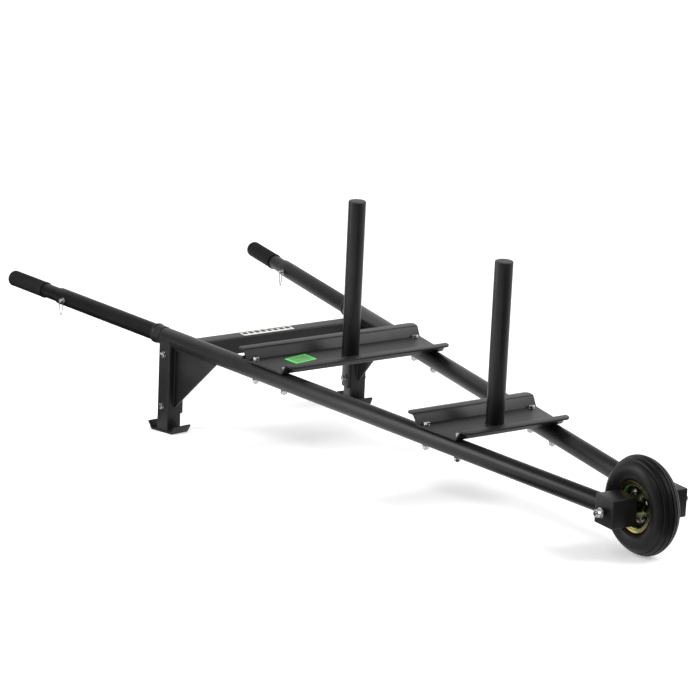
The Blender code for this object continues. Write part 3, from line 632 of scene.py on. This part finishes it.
hexEdges = {"upright": 0.0005, "chamfer": 0.0009}
bolt = {"radius": 0.0050, "hexR": 0.0096, "head": 0.0064, "nut": 0.0082, "washerR": 0.0095,
        "washerBore": 0.0045, "washer": 0.0018, "threadEnd": 0.003}
boltSpots = {"back": (-0.0615, 12), "fore": (0.0615, 41)}   # along the tray, and the turn of the hexagon
domeBolt = {"at": -1.480, "radius": 0.0072, "height": 0.0050, "brim": 0.0004, "shank": 0.012}


def hexPrism(radius, seat, end):
    # chamfered at its free end, which may lie above or below the seat
    bm = bmesh.new()
    depth = abs(end - seat)
    bmesh.ops.create_cone(bm, cap_ends=True, segments=6, radius1=radius, radius2=radius, depth=depth,
                          matrix=Matrix.Translation((0, 0, (seat + end) / 2)))
    uprights = [e for e in bm.edges if abs(e.verts[0].co.z - e.verts[1].co.z) > 0.5 * depth]
    roundOff(bm, uprights, hexEdges["upright"], 2)
    endEdges = [e for e in bm.edges if all(abs(v.co.z - end) < 0.000001 for v in e.verts)]
    roundOff(bm, endEdges, hexEdges["chamfer"], 3)
    return bm


def threadProfile(radius, low, high, pitch=0.0015, depth=0.0007):
    turns = max(1, round((high - low) / pitch))
    step = (high - low) / turns
    line = []
    for i in range(turns):
        line += [(radius - depth, low + i * step), (radius, low + (i + 0.5) * step)]
    return line + [(radius - depth, high)]


def washerRing(outer, bore, low, high):
    return pipe(outer, bore, low, high, 40, Matrix(), 0.0004)


def boltThrough(low, high):
    # head and washer above, washer, nut and a short thread end below
    radius, outer, bore = bolt["radius"], bolt["washerR"], bolt["washerBore"]
    top, base = high + gap + bolt["washer"], low - gap - bolt["washer"]
    nutEnd = base - bolt["nut"]
    bm = hexPrism(bolt["hexR"], top, top + bolt["head"])
    merged(bm, washerRing(outer, bore, high + gap, top))
    merged(bm, washerRing(outer, bore, base, low - gap))
    merged(bm, hexPrism(bolt["hexR"], base, nutEnd))
    end = nutEnd - bolt["threadEnd"]
    thread = [(0, end), (radius - 0.0012, end)]
    thread += threadProfile(radius, end + 0.0006, nutEnd + 0.001)
    thread += [(radius - 0.0007, top + 0.001), (0, top + 0.001)]
    return merged(bm, turned(thread, 28))


def makeTrayBolts(place, centre):
    for end, (step, spin) in boltSpots.items():
        for side, sign in sides.items():
            bm = boltThrough(-tubes["railR"], trayTop)
            spot = onRail(side, (centre + step) / splayCos) @ spun(spin * sign)
            addNamed(f"trayBolt{place.capitalize()}{end.capitalize()}", side, moved(bm, spot),
                     f"tray_bolt_{place}_{end}", "zinc")


def makeDomeBolt(side):
    seat, radius, height = railTop, domeBolt["radius"], domeBolt["height"]
    low, shank = seat - domeBolt["shank"], bolt["radius"]
    profile = [(0, seat + height)]
    for i in range(1, 10):
        angle = pi / 2 * i / 9
        profile.append((radius * sin(angle), seat + height * cos(angle) + domeBolt["brim"]))
    profile += [(radius, seat), (shank, seat), (shank, low), (0, low)]
    bm = turned(profile, 40, onRail(side, domeBolt["at"]))
    addNamed("domeBolt", side, bm, "dome_bolt", "zinc", blackCoat)


# Legs, hangers, gussets, feet and crossbeam

leg = {"at": -1.8095, "size": 0.050, "corner": 0.005, "length": 0.4,
       "bolts": {"upper": (-0.046, 8), "lower": (-0.200, 27)}}   # height, and the turn of the hexagon
hanger = {"sheet": 0.0075, "width": 0.044, "top": -0.006, "foot": -0.228, "corner": 0.006}
gusset = {"sheet": 0.006, "tip": -1.602, "foot": -0.201, "nose": 0.004, "edge": 0.0007}
foot = {"width": 0.0586, "flat": 0.0962, "ahead": 0.0055, "toeRun": 0.015, "toeRise": 0.0225,
        "sheet": 0.005, "bend": 0.008, "edge": 0.0007}
beam = {"at": -1.742, "size": 0.050, "drop": 0.0257}


def makeLeg(side):
    bm = bar((leg["size"], leg["size"], leg["length"]), leg["corner"],
             onRail(side, leg["at"], 0, -leg["length"] / 2 - 0.001))
    cutAway(bm, (0, 0, foot["sheet"] + gap), (0, 0, -1), True)
    faceOut(bm)
    addNamed("squareLeg", side, bm, "leg")


def makeHanger(side):
    half = hanger["width"] / 2
    inward = -sides[side] * (leg["size"] / 2 + gap + hanger["sheet"] / 2)
    bm = plate(rectangle(-half, hanger["foot"], half, hanger["top"]), hanger["corner"], hanger["sheet"],
               onRail(side, leg["at"], inward) @ pinAxis)
    addNamed("legHanger", side, bm, "hanger")


def makeGusset(side):
    heel = leg["at"] + leg["size"] / 2 + gap
    corners = [(heel, -railTop), (heel, gusset["foot"]), (heel + gusset["nose"], gusset["foot"]),
               (gusset["tip"], -railTop - gusset["nose"]), (gusset["tip"], -railTop)]
    bm = plate(corners, 0, gusset["sheet"], railFrame[side] @ pinAxis, gusset["edge"])
    addNamed("legGusset", side, bm, "gusset")


def legBottom(side):
    high = railFrame[side] @ Vector((leg["at"], 0, 0))
    low = railFrame[side] @ Vector((leg["at"], 0, -leg["length"]))
    return high.lerp(low, (high.z - foot["sheet"]) / (high.z - low.z))


def makeFoot(side):
    half, rise = foot["flat"] / 2, foot["toeRise"]
    toe = half + foot["toeRun"]
    bm = drawnSheet(roundedLine([(-toe, rise), (-half, 0), (half, 0), (toe, rise)], foot["bend"], 8),
                    foot["width"])
    thicken(bm, foot["sheet"], foot["edge"])
    spot = legBottom(side)
    place = Matrix.Translation((spot.x + foot["ahead"], spot.y, 0)) @ railYaw[side]
    addNamed("skidFoot", side, moved(bm, place), "foot")


def makeLegBolts(side):
    for name, (height, spin) in leg["bolts"].items():
        bm = boltThrough(-(leg["size"] / 2 + gap + hanger["sheet"]), leg["size"] / 2)
        spot = onRail(side, leg["at"], 0, height) @ outward[side] @ spun(spin)
        addNamed("legBolt" + name.capitalize(), side, moved(bm, spot), f"leg_bolt_{name}", "zinc")


def makeBeam():
    # coped to both rails, with its ends against the inner faces of the gussets
    at, size = beam["at"], beam["size"]
    bm = bar((size, 2 * railY(at) + size, size), leg["corner"], onSlope(at, 0, -beam["drop"]))
    for side, sign in sides.items():
        face = railFrame[side] @ Vector((0, -sign * (gusset["sheet"] / 2 + gap), 0))
        cutAway(bm, face, railFrame[side].to_3x3() @ Vector((0, sign, 0)), True)
    faceOut(bm)
    for side in sides:
        bm = cutHoles(bm, tubes["railR"] - 0.0006, 0.3, [(at, 0, 0)], railFrame[side], alongX,
                      tubes["steps"])
    addPiece("crossBeam", bm, "crossbeam")


# Axle boxes, axle and wheel

box = {"front": 0.033, "back": -0.041, "height": 0.076, "innerY": 0.042, "outerY": 0.118, "bossR": 0.0115,
       "bossLength": 0.0125, "edge": 0.0024, "boreR": 0.0088, "boreMiddle": 0.085, "boreLength": 0.13}
axleBolt = {"radius": 0.008, "endY": 0.1495, "hexR": 0.0118, "washerR": 0.0132, "washer": 0.0025,
            "head": 0.0064, "nut": 0.0125, "nutTurn": 14, "collarR": 0.00944}


def makeAxleBox(side):
    back, front, inner, outer = box["back"], box["front"], box["innerY"], box["outerY"]
    sign = sides[side]
    bm = block(front - back, outer - inner, box["height"])
    roundOff(bm, bm.edges[:], box["edge"], 4)
    moved(bm, onSlope((front + back) / 2, sign * (inner + outer) / 2))
    bm = cutHoles(bm, box["boreR"], box["boreLength"], [(0, sign * box["boreMiddle"], 0)], slopeFrame,
                  pinAxis, 32)
    boss = pipe(box["bossR"], box["boreR"], outer - 0.002, outer + box["bossLength"], 48,
                slopeFrame @ outward[side])
    addNamed("axleBox", side, merged(bm, boss), "axle_box")


def makeAxle():
    face = box["outerY"] + box["bossLength"] + gap
    radius, hexR, washerR = axleBolt["radius"], axleBolt["hexR"], axleBolt["washerR"]
    end = -axleBolt["endY"]
    seat = face + axleBolt["washer"]
    place = slopeFrame @ leftAxis
    bm = hexPrism(hexR, seat, seat + axleBolt["head"])
    merged(bm, washerRing(washerR, radius, face, seat))
    profile = [(0, end), (radius - 0.0018, end)]
    profile += threadProfile(radius, end + 0.001, -face + 0.010, 0.0020, 0.0009)
    profile += [(radius, -face + 0.012), (radius, seat + 0.001), (0, seat + 0.001)]
    merged(bm, turned(profile, 40))
    addPiece("axleRod", moved(bm, place), "axle", "zinc")
    nutEnd = -seat - axleBolt["nut"]
    nut = hexPrism(hexR, -seat, nutEnd)
    merged(nut, washerRing(washerR, radius + gap, -seat, -face))
    # the nut's own collar closes on the thread
    merged(nut, washerRing(axleBolt["collarR"], radius + gap, nutEnd - 0.0004, nutEnd + 0.0005))
    addPiece("axleNut", moved(nut, place @ spun(axleBolt["nutTurn"])), "axle_nut", "zinc")


wheel = {
    "radius": 0.130, "half": 0.0397, "flankR": 0.0993, "roundness": 1.544, "steps": 192,
    "treadHalf": 0.0386, "treadSteps": 96, "flankBend": 0.004,
    "grooves": (0.0, 0.0118, 0.0240), "grooveHalf": 0.0024, "grooveDepth": 0.0034, "grooveFlat": 1.35,
    "flank": [(0.0990, 0.0393), (0.0930, 0.0393), (0.0860, 0.0382), (0.0850, 0.0370), (0.0810, 0.0358),
              (0.0760, 0.0330), (0.0735, 0.0300), (0.0722, 0.0292), (0.0706, 0.0262), (0.0700, 0.0240),
              (0.0580, 0.0212), (0.0560, 0.0140)],
    "inside": [(0.0680, 0.0160), (0.0900, 0.0310), (0.1120, 0.0230)],
}
hub = {"radius": 0.0172, "half": 0.029, "bore": 0.0105, "bearingR": 0.014, "bearingWidth": 0.008,
       "letIn": 0.001, "outerRaceBore": 0.0124, "innerRaceR": 0.0104, "spacerR": 0.0115}
bearingSeat = hub["half"] - hub["bearingWidth"] - hub["letIn"]
rim = {"sheet": 0.0022, "bend": 0.0040, "well": 0.0440, "holeR": 0.0046, "boltRing": 0.036,
       "boltTurn": 24.5, "boltCount": 4, "boltR": 0.0039, "hexR": 0.0074, "head": 0.0053, "nut": 0.0080,
       "shoulder": [(0.0515, 0.0160), (0.0560, 0.0232), (0.0640, 0.0246), (0.0683, 0.0262)]}


def crown(y):
    share = max(0.0, 1 - (abs(y) / wheel["half"]) ** wheel["roundness"]) ** (1 / wheel["roundness"])
    return wheel["flankR"] + (wheel["radius"] - wheel["flankR"]) * share


def tread(y):
    # radius of the tread with its rounded grooves
    depth = 0.0
    for middle in wheel["grooves"]:
        off = abs(abs(y) - middle) / wheel["grooveHalf"]
        if off < 1:
            depth = wheel["grooveDepth"] * min(1.0, wheel["grooveFlat"] * (1 + cos(pi * off)) / 2)
    return crown(y) - depth


def makeTyre():
    count, reach, inside = wheel["treadSteps"], wheel["treadHalf"], wheel["inside"]
    half = [(tread(reach * i / count), reach * i / count) for i in range(count + 1)]
    half += roundedLine([half[-1], *wheel["flank"]], wheel["flankBend"], 5)[1:]
    loop = half[::-1] + [(r, -z) for r, z in half[1:]] + [(r, -z) for r, z in inside] + inside[::-1]
    bm = turned(loop, wheel["steps"], wheelFrame @ pinAxis, True)
    addPiece("tyreCasing", bm, "tyre", "tyre_rubber", body="wheel", smooth=60)


def rimSpots():
    angles = [radians(rim["boltTurn"]) + i * 2 * pi / rim["boltCount"] for i in range(rim["boltCount"])]
    return [(rim["boltRing"] * cos(a), 0, rim["boltRing"] * sin(a)) for a in angles]


def makeRim(side):
    sheet, well = rim["sheet"], rim["well"]
    flat = sheet / 2 + gap
    line = [(hub["radius"] + 0.0006, flat), (well, flat), (well + 0.0050, flat + 0.0040), *rim["shoulder"]]
    shell = turned(line, wheel["steps"] // 2, rounding=rim["bend"], arc=6)
    inmost = min(shell.faces, key=lambda f: f.calc_center_median().xy.length)
    bmesh.ops.solidify(shell, geom=shell.faces[:], thickness=-sheet if inmost.normal.z > 0 else sheet)
    low = min(v.co.z for v in shell.verts)
    bmesh.ops.translate(shell, vec=(0, 0, gap - low), verts=shell.verts)
    faceOut(shell)
    soften(shell, 0.0005, 2, 50)
    bm = cutHoles(moved(shell, wheelFrame @ outward[side]), rim["holeR"], 0.03, rimSpots(), wheelFrame,
                  pinAxis)
    addNamed("rimHalf", side, bm, "rim", "yellow_zinc", body="wheel")


def makeRimBolts():
    face, radius, hexR = rim["sheet"] + 2 * gap, rim["boltR"], rim["hexR"]
    end = face + rim["nut"] + 0.0035
    for i, spot in enumerate(rimSpots()):
        bm = hexPrism(hexR, face, face + rim["nut"])
        merged(bm, hexPrism(hexR, -face, -face - rim["head"]))
        thread = [(0, -face - 0.001), (radius - 0.0003, -face - 0.001), (radius - 0.0003, face)]
        thread += threadProfile(radius, face + 0.001, end - 0.0005, 0.00125, 0.0005)
        thread += [(radius - 0.0011, end), (0, end)]
        merged(bm, turned(thread, 24))
        place = wheelFrame @ Matrix.Translation(spot) @ pinAxis @ spun(17 + 23 * i)
        addNamed("rimBolt", str(i + 1), moved(bm, place), "rim_bolt", "zinc", body="wheel")


def makeHub():
    radius, half, bore, seat = hub["radius"], hub["half"], hub["bore"], hub["bearingR"] + gap
    profile = [(radius, 0.01), (radius, -half), (seat, -half), (seat, -bearingSeat), (bore, -bearingSeat),
               (bore, bearingSeat), (seat, bearingSeat), (seat, half), (radius, half), (radius, 0.01)]
    bm = turned(profile, 64, wheelFrame @ pinAxis, True, 0.0006)
    addPiece("hubTube", bm, "hub", "yellow_zinc", body="wheel")


def makeBearing(side):
    low = bearingSeat + gap
    high = low + hub["bearingWidth"]
    raceBore, innerR = hub["outerRaceBore"], hub["innerRaceR"]
    place = wheelFrame @ outward[side]
    bm = pipe(hub["bearingR"], raceBore, low, high, 64, place, 0.0003)
    merged(bm, pipe(innerR, axleBolt["radius"] + 0.0004, low, high, 64, place, 0.0003))
    addNamed("ballRace", side, bm, "bearing", "bearing_steel", body="wheel")
    shield = pipe(raceBore + 0.0001, innerR - 0.0001, low + 0.0006, high - 0.0007, 64, place, 0.0002)
    addPiece("raceShield" + side.capitalize(), shield, None, "tyre_rubber", capPlastic, "wheel")


def makeSpacer(side):
    bm = pipe(hub["spacerR"], box["boreR"], hub["half"] + 0.0008, box["innerY"] - gap, 48,
              slopeFrame @ outward[side], 0.0005)
    addNamed("axleSpacer", side, bm, "spacer", "zinc")


valve = {"ring": 0.0440, "turn": radians(-100),
         "profile": [(0, 0.0330), (0.0028, 0.0330), (0.0036, 0.0320), (0.0036, 0.0312), (0.0033, 0.0310),
                     (0.0036, 0.0306), (0.0036, 0.0240), (0.0030, 0.0236), (0.0030, 0.0200),
                     (0.0040, 0.0180), (0.0040, 0.0032), (0, 0.0032)]}


def makeValve():
    spot = (valve["ring"] * cos(valve["turn"]), 0, -valve["ring"] * sin(valve["turn"]))
    bm = turned(valve["profile"], 32, wheelFrame @ Matrix.Translation(spot) @ leftAxis)
    addPiece("valveStem", bm, "valve", "cap_plastic", body="wheel")


# Weld beads, all under the same coat

beads = {"leg": 0.0022, "beam": 0.0022, "box": 0.0028, "gusset": 0.0040, "foot": 0.0016, "post": 0.0014,
         "boss": 0.0010, "hanger": 0.0018}
weldPass = {"step": 0.0010, "ripple": 0.0032, "swell": 0.14, "lift": 0.0002, "hangerSpan": 0.016,
            "edgeSpan": 0.019, "edgeDrop": 0.0085, "hangerAngle": 0.3}


def weldBead(points, radius, closed):
    # a round bead along the points, its swell following the ripples of the pass
    if closed:
        points = points + points[:1]
    fine = []
    travelled = 0.0
    for a, b in zip(points, points[1:]):
        length = (b - a).length
        count = max(1, round(length / weldPass["step"]))
        fine += [(a.lerp(b, i / count), travelled + length * i / count) for i in range(count)]
        travelled += length
    if not closed:
        fine.append((points[-1], travelled))
    turns, swell = 2 * pi / weldPass["ripple"], weldPass["swell"]
    bm = wireAlong([(place, 1 + swell * cos(turns * along)) for place, along in fine], radius, 2, closed)
    bmesh.ops.remove_doubles(bm, verts=bm.verts, dist=0.000005)
    return bm


def ringPath(radius, count):
    angles = [2 * pi * i / count for i in range(count)]
    return [(radius * cos(a), radius * sin(a), 0) for a in angles]


def makeWelds():
    bm = bmesh.new()

    def addBead(place, points, joint, closed=False):
        merged(bm, weldBead([place @ Vector(p) for p in points], beads[joint], closed))

    r, half, edge, lift = tubes["railR"], leg["size"] / 2, gusset["sheet"] / 2, weldPass["lift"]
    for side, sign in sides.items():
        rail = railFrame[side]
        saddle = []
        for face in (1, -1):
            for i in range(25):
                y = face * half * (1 - 2 * i / 24)
                saddle.append((leg["at"] + face * half, y, -sqrt(r * r - y * y)))
        addBead(rail, saddle, "leg", True)
        # crossbeam to the rail: down one face, along the gusset under it and up the other face
        top, low = beam["size"] / 2 - beam["drop"], -beam["size"] / 2 - beam["drop"]
        fall = [(sqrt(r * r - z * z), z) for z in (top - (top + r) * 0.99 * i / 20 for i in range(21))]
        fall += [(edge + gap, -r), (edge + gap, low)]
        loop = [(beam["at"] + half, y, z) for y, z in fall]
        loop += [(beam["at"] - half, y, z) for y, z in reversed(fall)]
        addBead(rail, [(stationOf(side, u, -sign * y), -sign * y, z) for u, y, z in loop], "beam", True)
        # rail to the back of the axle box: the ring where the tube meets the flat face
        ring = [(stationOf(side, box["back"], y), y, z) for y, z, _ in ringPath(r, 48)]
        addBead(rail, ring, "box", True)
        heel, tip, low = leg["at"] + half, gusset["tip"], gusset["foot"]
        for y in (-edge, edge):
            addBead(rail, [(heel + 0.001, y, -r - 0.001), (tip - 0.002, y, -r - 0.0004)], "gusset")
            addBead(rail, [(heel, y, -r - 0.002), (heel, y, low + 0.004)], "gusset")
        # the hanger to the rail, and its upper edge
        angle, plateY = weldPass["hangerAngle"], half + gap + hanger["sheet"] - 0.0006
        for y, z, span in (((r - 0.0004) * cos(angle), -r * sin(angle), weldPass["hangerSpan"]),
                           (plateY, -weldPass["edgeDrop"], weldPass["edgeSpan"])):
            addBead(rail, [(leg["at"] + x, -sign * y, z) for x in (-span, span)], "hanger")
        spot = legBottom(side)
        base = Matrix.Translation((spot.x, spot.y, foot["sheet"] + lift)) @ railYaw[side]
        square = [(half, -half, 0), (half, half, 0), (-half, half, 0), (-half, -half, 0)]
        addBead(base, square, "foot", True)
        addBead(slopeFrame @ outward[side] @ Matrix.Translation((0, 0, box["outerY"])),
                ringPath(box["bossR"] + lift, 40), "boss", True)
    for centre in tray["centres"].values():
        addBead(onSlope(centre + post["ahead"], 0, trayTop + lift),
                ringPath(post["radius"] + 0.0003, 72), "post", True)
    addPiece("weldBeads", bm, finish=weldCoat, smooth=60)


# Two plain stick-on films: a green one on the rear tray and a white one on the crossbeam.

film = {"sheet": 0.00025, "lift": 0.00005, "edge": 0.00004, "ink": 0.0001, "inkEdge": 0.00003}
greenLabel = {"corners": [(-1.388, -0.193), (-1.4055, -0.113), (-1.349, -0.108), (-1.335, -0.185)],
              "border": 0.0062, "half": 0.030}   # the border's width, and about half the film's
whiteLabel = {"at": (-1.742, -0.0277), "length": 0.172, "width": 0.030, "bars": 8, "barLength": 0.0155,
              "barWidth": 0.017, "barBack": -0.0045}


def makeLabels():
    sheet, corners = film["sheet"], greenLabel["corners"]
    bm = plate(corners, 0.0015, sheet, onSlope(0, 0, trayTop + sheet / 2 + film["lift"]), film["edge"])
    addPiece("greenLabel", bm, finish=greenFilm)
    centre = sum((Vector(c) for c in corners), Vector((0, 0))) / 4
    shrink = 1 - greenLabel["border"] / greenLabel["half"]
    inner = [centre + (Vector(c) - centre) * shrink for c in corners]
    place = onSlope(0, 0, trayTop + sheet + 0.00012)
    bm = plate(inner, 0.001, film["ink"], place, film["inkEdge"])
    addPiece("greenLabelPanel", bm, finish=greyGreenFilm)
    x, y = whiteLabel["width"] / 2, whiteLabel["length"] / 2
    place = onSlope(*whiteLabel["at"], beam["size"] / 2 - beam["drop"] + sheet / 2 + film["lift"])
    bm = plate(rectangle(-x, -y, x, y), 0.002, sheet, place, film["edge"])
    addPiece("beamLabel", bm, finish=whiteFilm)
    # a plain row of equal dark bars along the film
    bars = bmesh.new()
    x, y = whiteLabel["barWidth"] / 2, whiteLabel["barLength"] / 2
    pitch = whiteLabel["length"] / (whiteLabel["bars"] + 0.3)
    for i in range(whiteLabel["bars"]):
        spot = (whiteLabel["barBack"], (i - (whiteLabel["bars"] - 1) / 2) * pitch, sheet * 0.75)
        merged(bars, plate(rectangle(-x, -y, x, y), 0.001, film["ink"], place @ Matrix.Translation(spot),
                           film["inkEdge"]))
    addPiece("beamLabelBars", bars, finish=darkFilm)


for sideWord in sides:
    for make in (makeRail, makeSleeve, makeRearTube, makeHandle, makeGrip, makePin, makeBail, makeDomeBolt,
                 makeLeg, makeHanger, makeGusset, makeFoot, makeLegBolts):
        make(sideWord)
print("rails, legs and handles ready")
for trayName, trayCentre in tray["centres"].items():
    makeTray(trayName, trayCentre)
    makePost(trayName, trayCentre)
    makeTrayBolts(trayName, trayCentre)
makeBeam()
print("trays and crossbeam ready")
for sideWord in sides:
    for make in (makeAxleBox, makeRim, makeBearing, makeSpacer):
        make(sideWord)
makeAxle()
makeTyre()
makeRimBolts()
makeHub()
makeValve()
print("wheel ready")
makeWelds()
makeLabels()
print("welds and labels ready")


# Floor, light and camera

def whiteForCamera(tree, lit, seen):
    # rays from the camera and in reflections see the second shader, light bounces off the first
    rays = addNode(tree, "LightPath", {}).outputs
    camOrGlossy = addNode(tree, "Math", {0: rays["Is Camera Ray"], 1: rays["Is Glossy Ray"]}, "MAXIMUM")
    anySeen = addNode(tree, "Math", {0: camOrGlossy.outputs[0], 1: rays["Is Transmission Ray"]}, "MAXIMUM")
    mix = addNode(tree, "MixShader", {"Fac": anySeen.outputs[0], 1: lit.outputs[0], 2: seen.outputs[0]})
    return mix.outputs["Shader"]


def emptyTree(owner):
    owner.use_nodes = True
    owner.node_tree.nodes.clear()
    return owner.node_tree


def flatSheet(name, place, material):
    bm = bmesh.new()
    bmesh.ops.create_grid(bm, x_segments=1, y_segments=1, size=0.5, matrix=place)
    mesh = meshFrom(name, bm)
    mesh.materials.append(material)
    return newObject(name, mesh)


studio = {"worldLight": 0.36, "floorColour": 0.86, "floorGlow": 0.32, "floorDiffuse": 0.90,
          "floorSize": 60.0, "floorDrop": 0.0002}


def makeFloor():
    mat = bpy.data.materials.new("palePaper")
    tree = emptyTree(mat)
    paper = addNode(tree, "BsdfDiffuse", {"Color": (*[studio["floorColour"]] * 3, 1)})
    shade = addNode(tree, "BsdfDiffuse", {"Color": (*[studio["floorDiffuse"]] * 3, 1)})
    glow = addNode(tree, "Emission", {"Strength": studio["floorGlow"]})
    both = addNode(tree, "AddShader", {0: shade.outputs[0], 1: glow.outputs[0]})
    addNode(tree, "OutputMaterial", {"Surface": whiteForCamera(tree, paper, both)})
    floor = flatSheet("studioFloor", Matrix.Scale(studio["floorSize"], 4), mat)
    floor.location.z = -studio["floorDrop"]


def makeWorld():
    world = bpy.data.worlds.new("paleStudio")
    bpy.context.scene.world = world
    tree = emptyTree(world)
    light = addNode(tree, "Background", {"Color": (1, 1, 1, 1), "Strength": studio["worldLight"]})
    seen = addNode(tree, "Background", {"Color": (1, 1, 1, 1), "Strength": 1.0})
    addNode(tree, "OutputWorld", {"Surface": whiteForCamera(tree, light, seen)})


def makeCard(name, place, target, size):
    # a black card that only reflections see, so that metal and paint show dark beside light
    turn = (Vector(target) - Vector(place)).to_track_quat("Z", "Y").to_matrix().to_4x4()
    black = newMaterial(name, (0.02, 0.02, 0.02), 0.9)[0]
    card = flatSheet(name, Matrix.Translation(place) @ turn @ Matrix.Diagonal((*size, 1, 1)), black)
    card.visible_camera = card.visible_diffuse = card.visible_transmission = card.visible_shadow = False


def makeLamp(name, kind, place, target, size, power):
    lamp = bpy.data.lights.new(name, kind)
    lamp.energy = power
    if kind == "SUN":
        lamp.angle = radians(size)
    else:
        lamp.shape = "SQUARE"
        lamp.size = size
    obj = newObject(name, lamp)
    obj.location = place
    obj.rotation_euler = (Vector(target) - Vector(place)).to_track_quat("-Z", "Y").to_euler()


# place, target and size of each card; kind, place, target, size and power of each lamp
cards = {
    "ceilingCard": ((0, 0, 6.0), (0, 0, 0), (10, 10)),
    "frontCard": ((4.8, -3.4, 2.6), (0, 0, 1.2), (9, 4.4)),
    "wheelFlag": ((1.85, 0.3, 0.32), (0, 0.3, 0.32), (2.2, 0.62)),
    "legFlag": ((-2.3, -1.5, 0.29), (-2.3, 0, 0.29), (2.6, 0.56)),
    "floorFlag": ((-1.55, -0.55, 0.003), (-1.55, -0.55, 1.0), (1.7, 1.1)),
    "boxFlag": ((0.87, -0.42, 0.003), (0.87, -0.42, 1.0), (0.46, 0.5)),
    "treadFlag": ((1.62, 0.20, 0.003), (1.62, 0.20, 1.0), (0.5, 1.3)),
    "handleFlag": ((-3.15, -1.6, 1.25), (-3.15, 0, 1.25), (3.9, 2.4)),
}
lamps = {
    "softSun": ("SUN", (2.1, 2.5, 3.5), (0, 0, 0), 40, 2.4),
    "leftSoftbox": ("AREA", (-1.4, -3.5, 2.8), (0.2, 0, 0.2), 2.2, 110),
    "lowSoftbox": ("AREA", (-1.8, -2.7, 0.75), (0, 0, 0.4), 1.2, 20),
    "wheelSoftbox": ("AREA", (2.05, -2.1, 2.8), (1.2, 0, 0.15), 0.6, 12),
}
camera = {"place": (7.81514, -5.21135, 2.37498), "yaw": 2.56094, "pitch": 0.21657, "roll": -0.00113,
          "focalPixels": 3445.17, "frame": 700, "sensor": 36}


def makeCamera():
    yaw, pitch, roll = camera["yaw"], camera["pitch"], camera["roll"]
    ahead = Vector((cos(yaw) * cos(pitch), sin(yaw) * cos(pitch), -sin(pitch)))
    level = ahead.cross(Vector((0, 0, 1))).normalized()
    upright = level.cross(ahead)
    right = level * cos(roll) + upright * sin(roll)
    up = upright * cos(roll) - level * sin(roll)
    data = bpy.data.cameras.new("photoCamera")
    data.sensor_width = camera["sensor"]
    data.lens = camera["focalPixels"] / camera["frame"] * camera["sensor"]
    data.clip_end = 200
    obj = newObject("photoCamera", data)
    obj.matrix_world = frameOf(right, up, -ahead, Vector(camera["place"]))
    bpy.context.scene.camera = obj


makeFloor()
makeWorld()
for cardName, cardValues in cards.items():
    makeCard(cardName, *cardValues)
for lampName, lampValues in lamps.items():
    makeLamp(lampName, *lampValues)
makeCamera()
bpy.context.scene.view_settings.view_transform = "Standard"
print("studio ready")
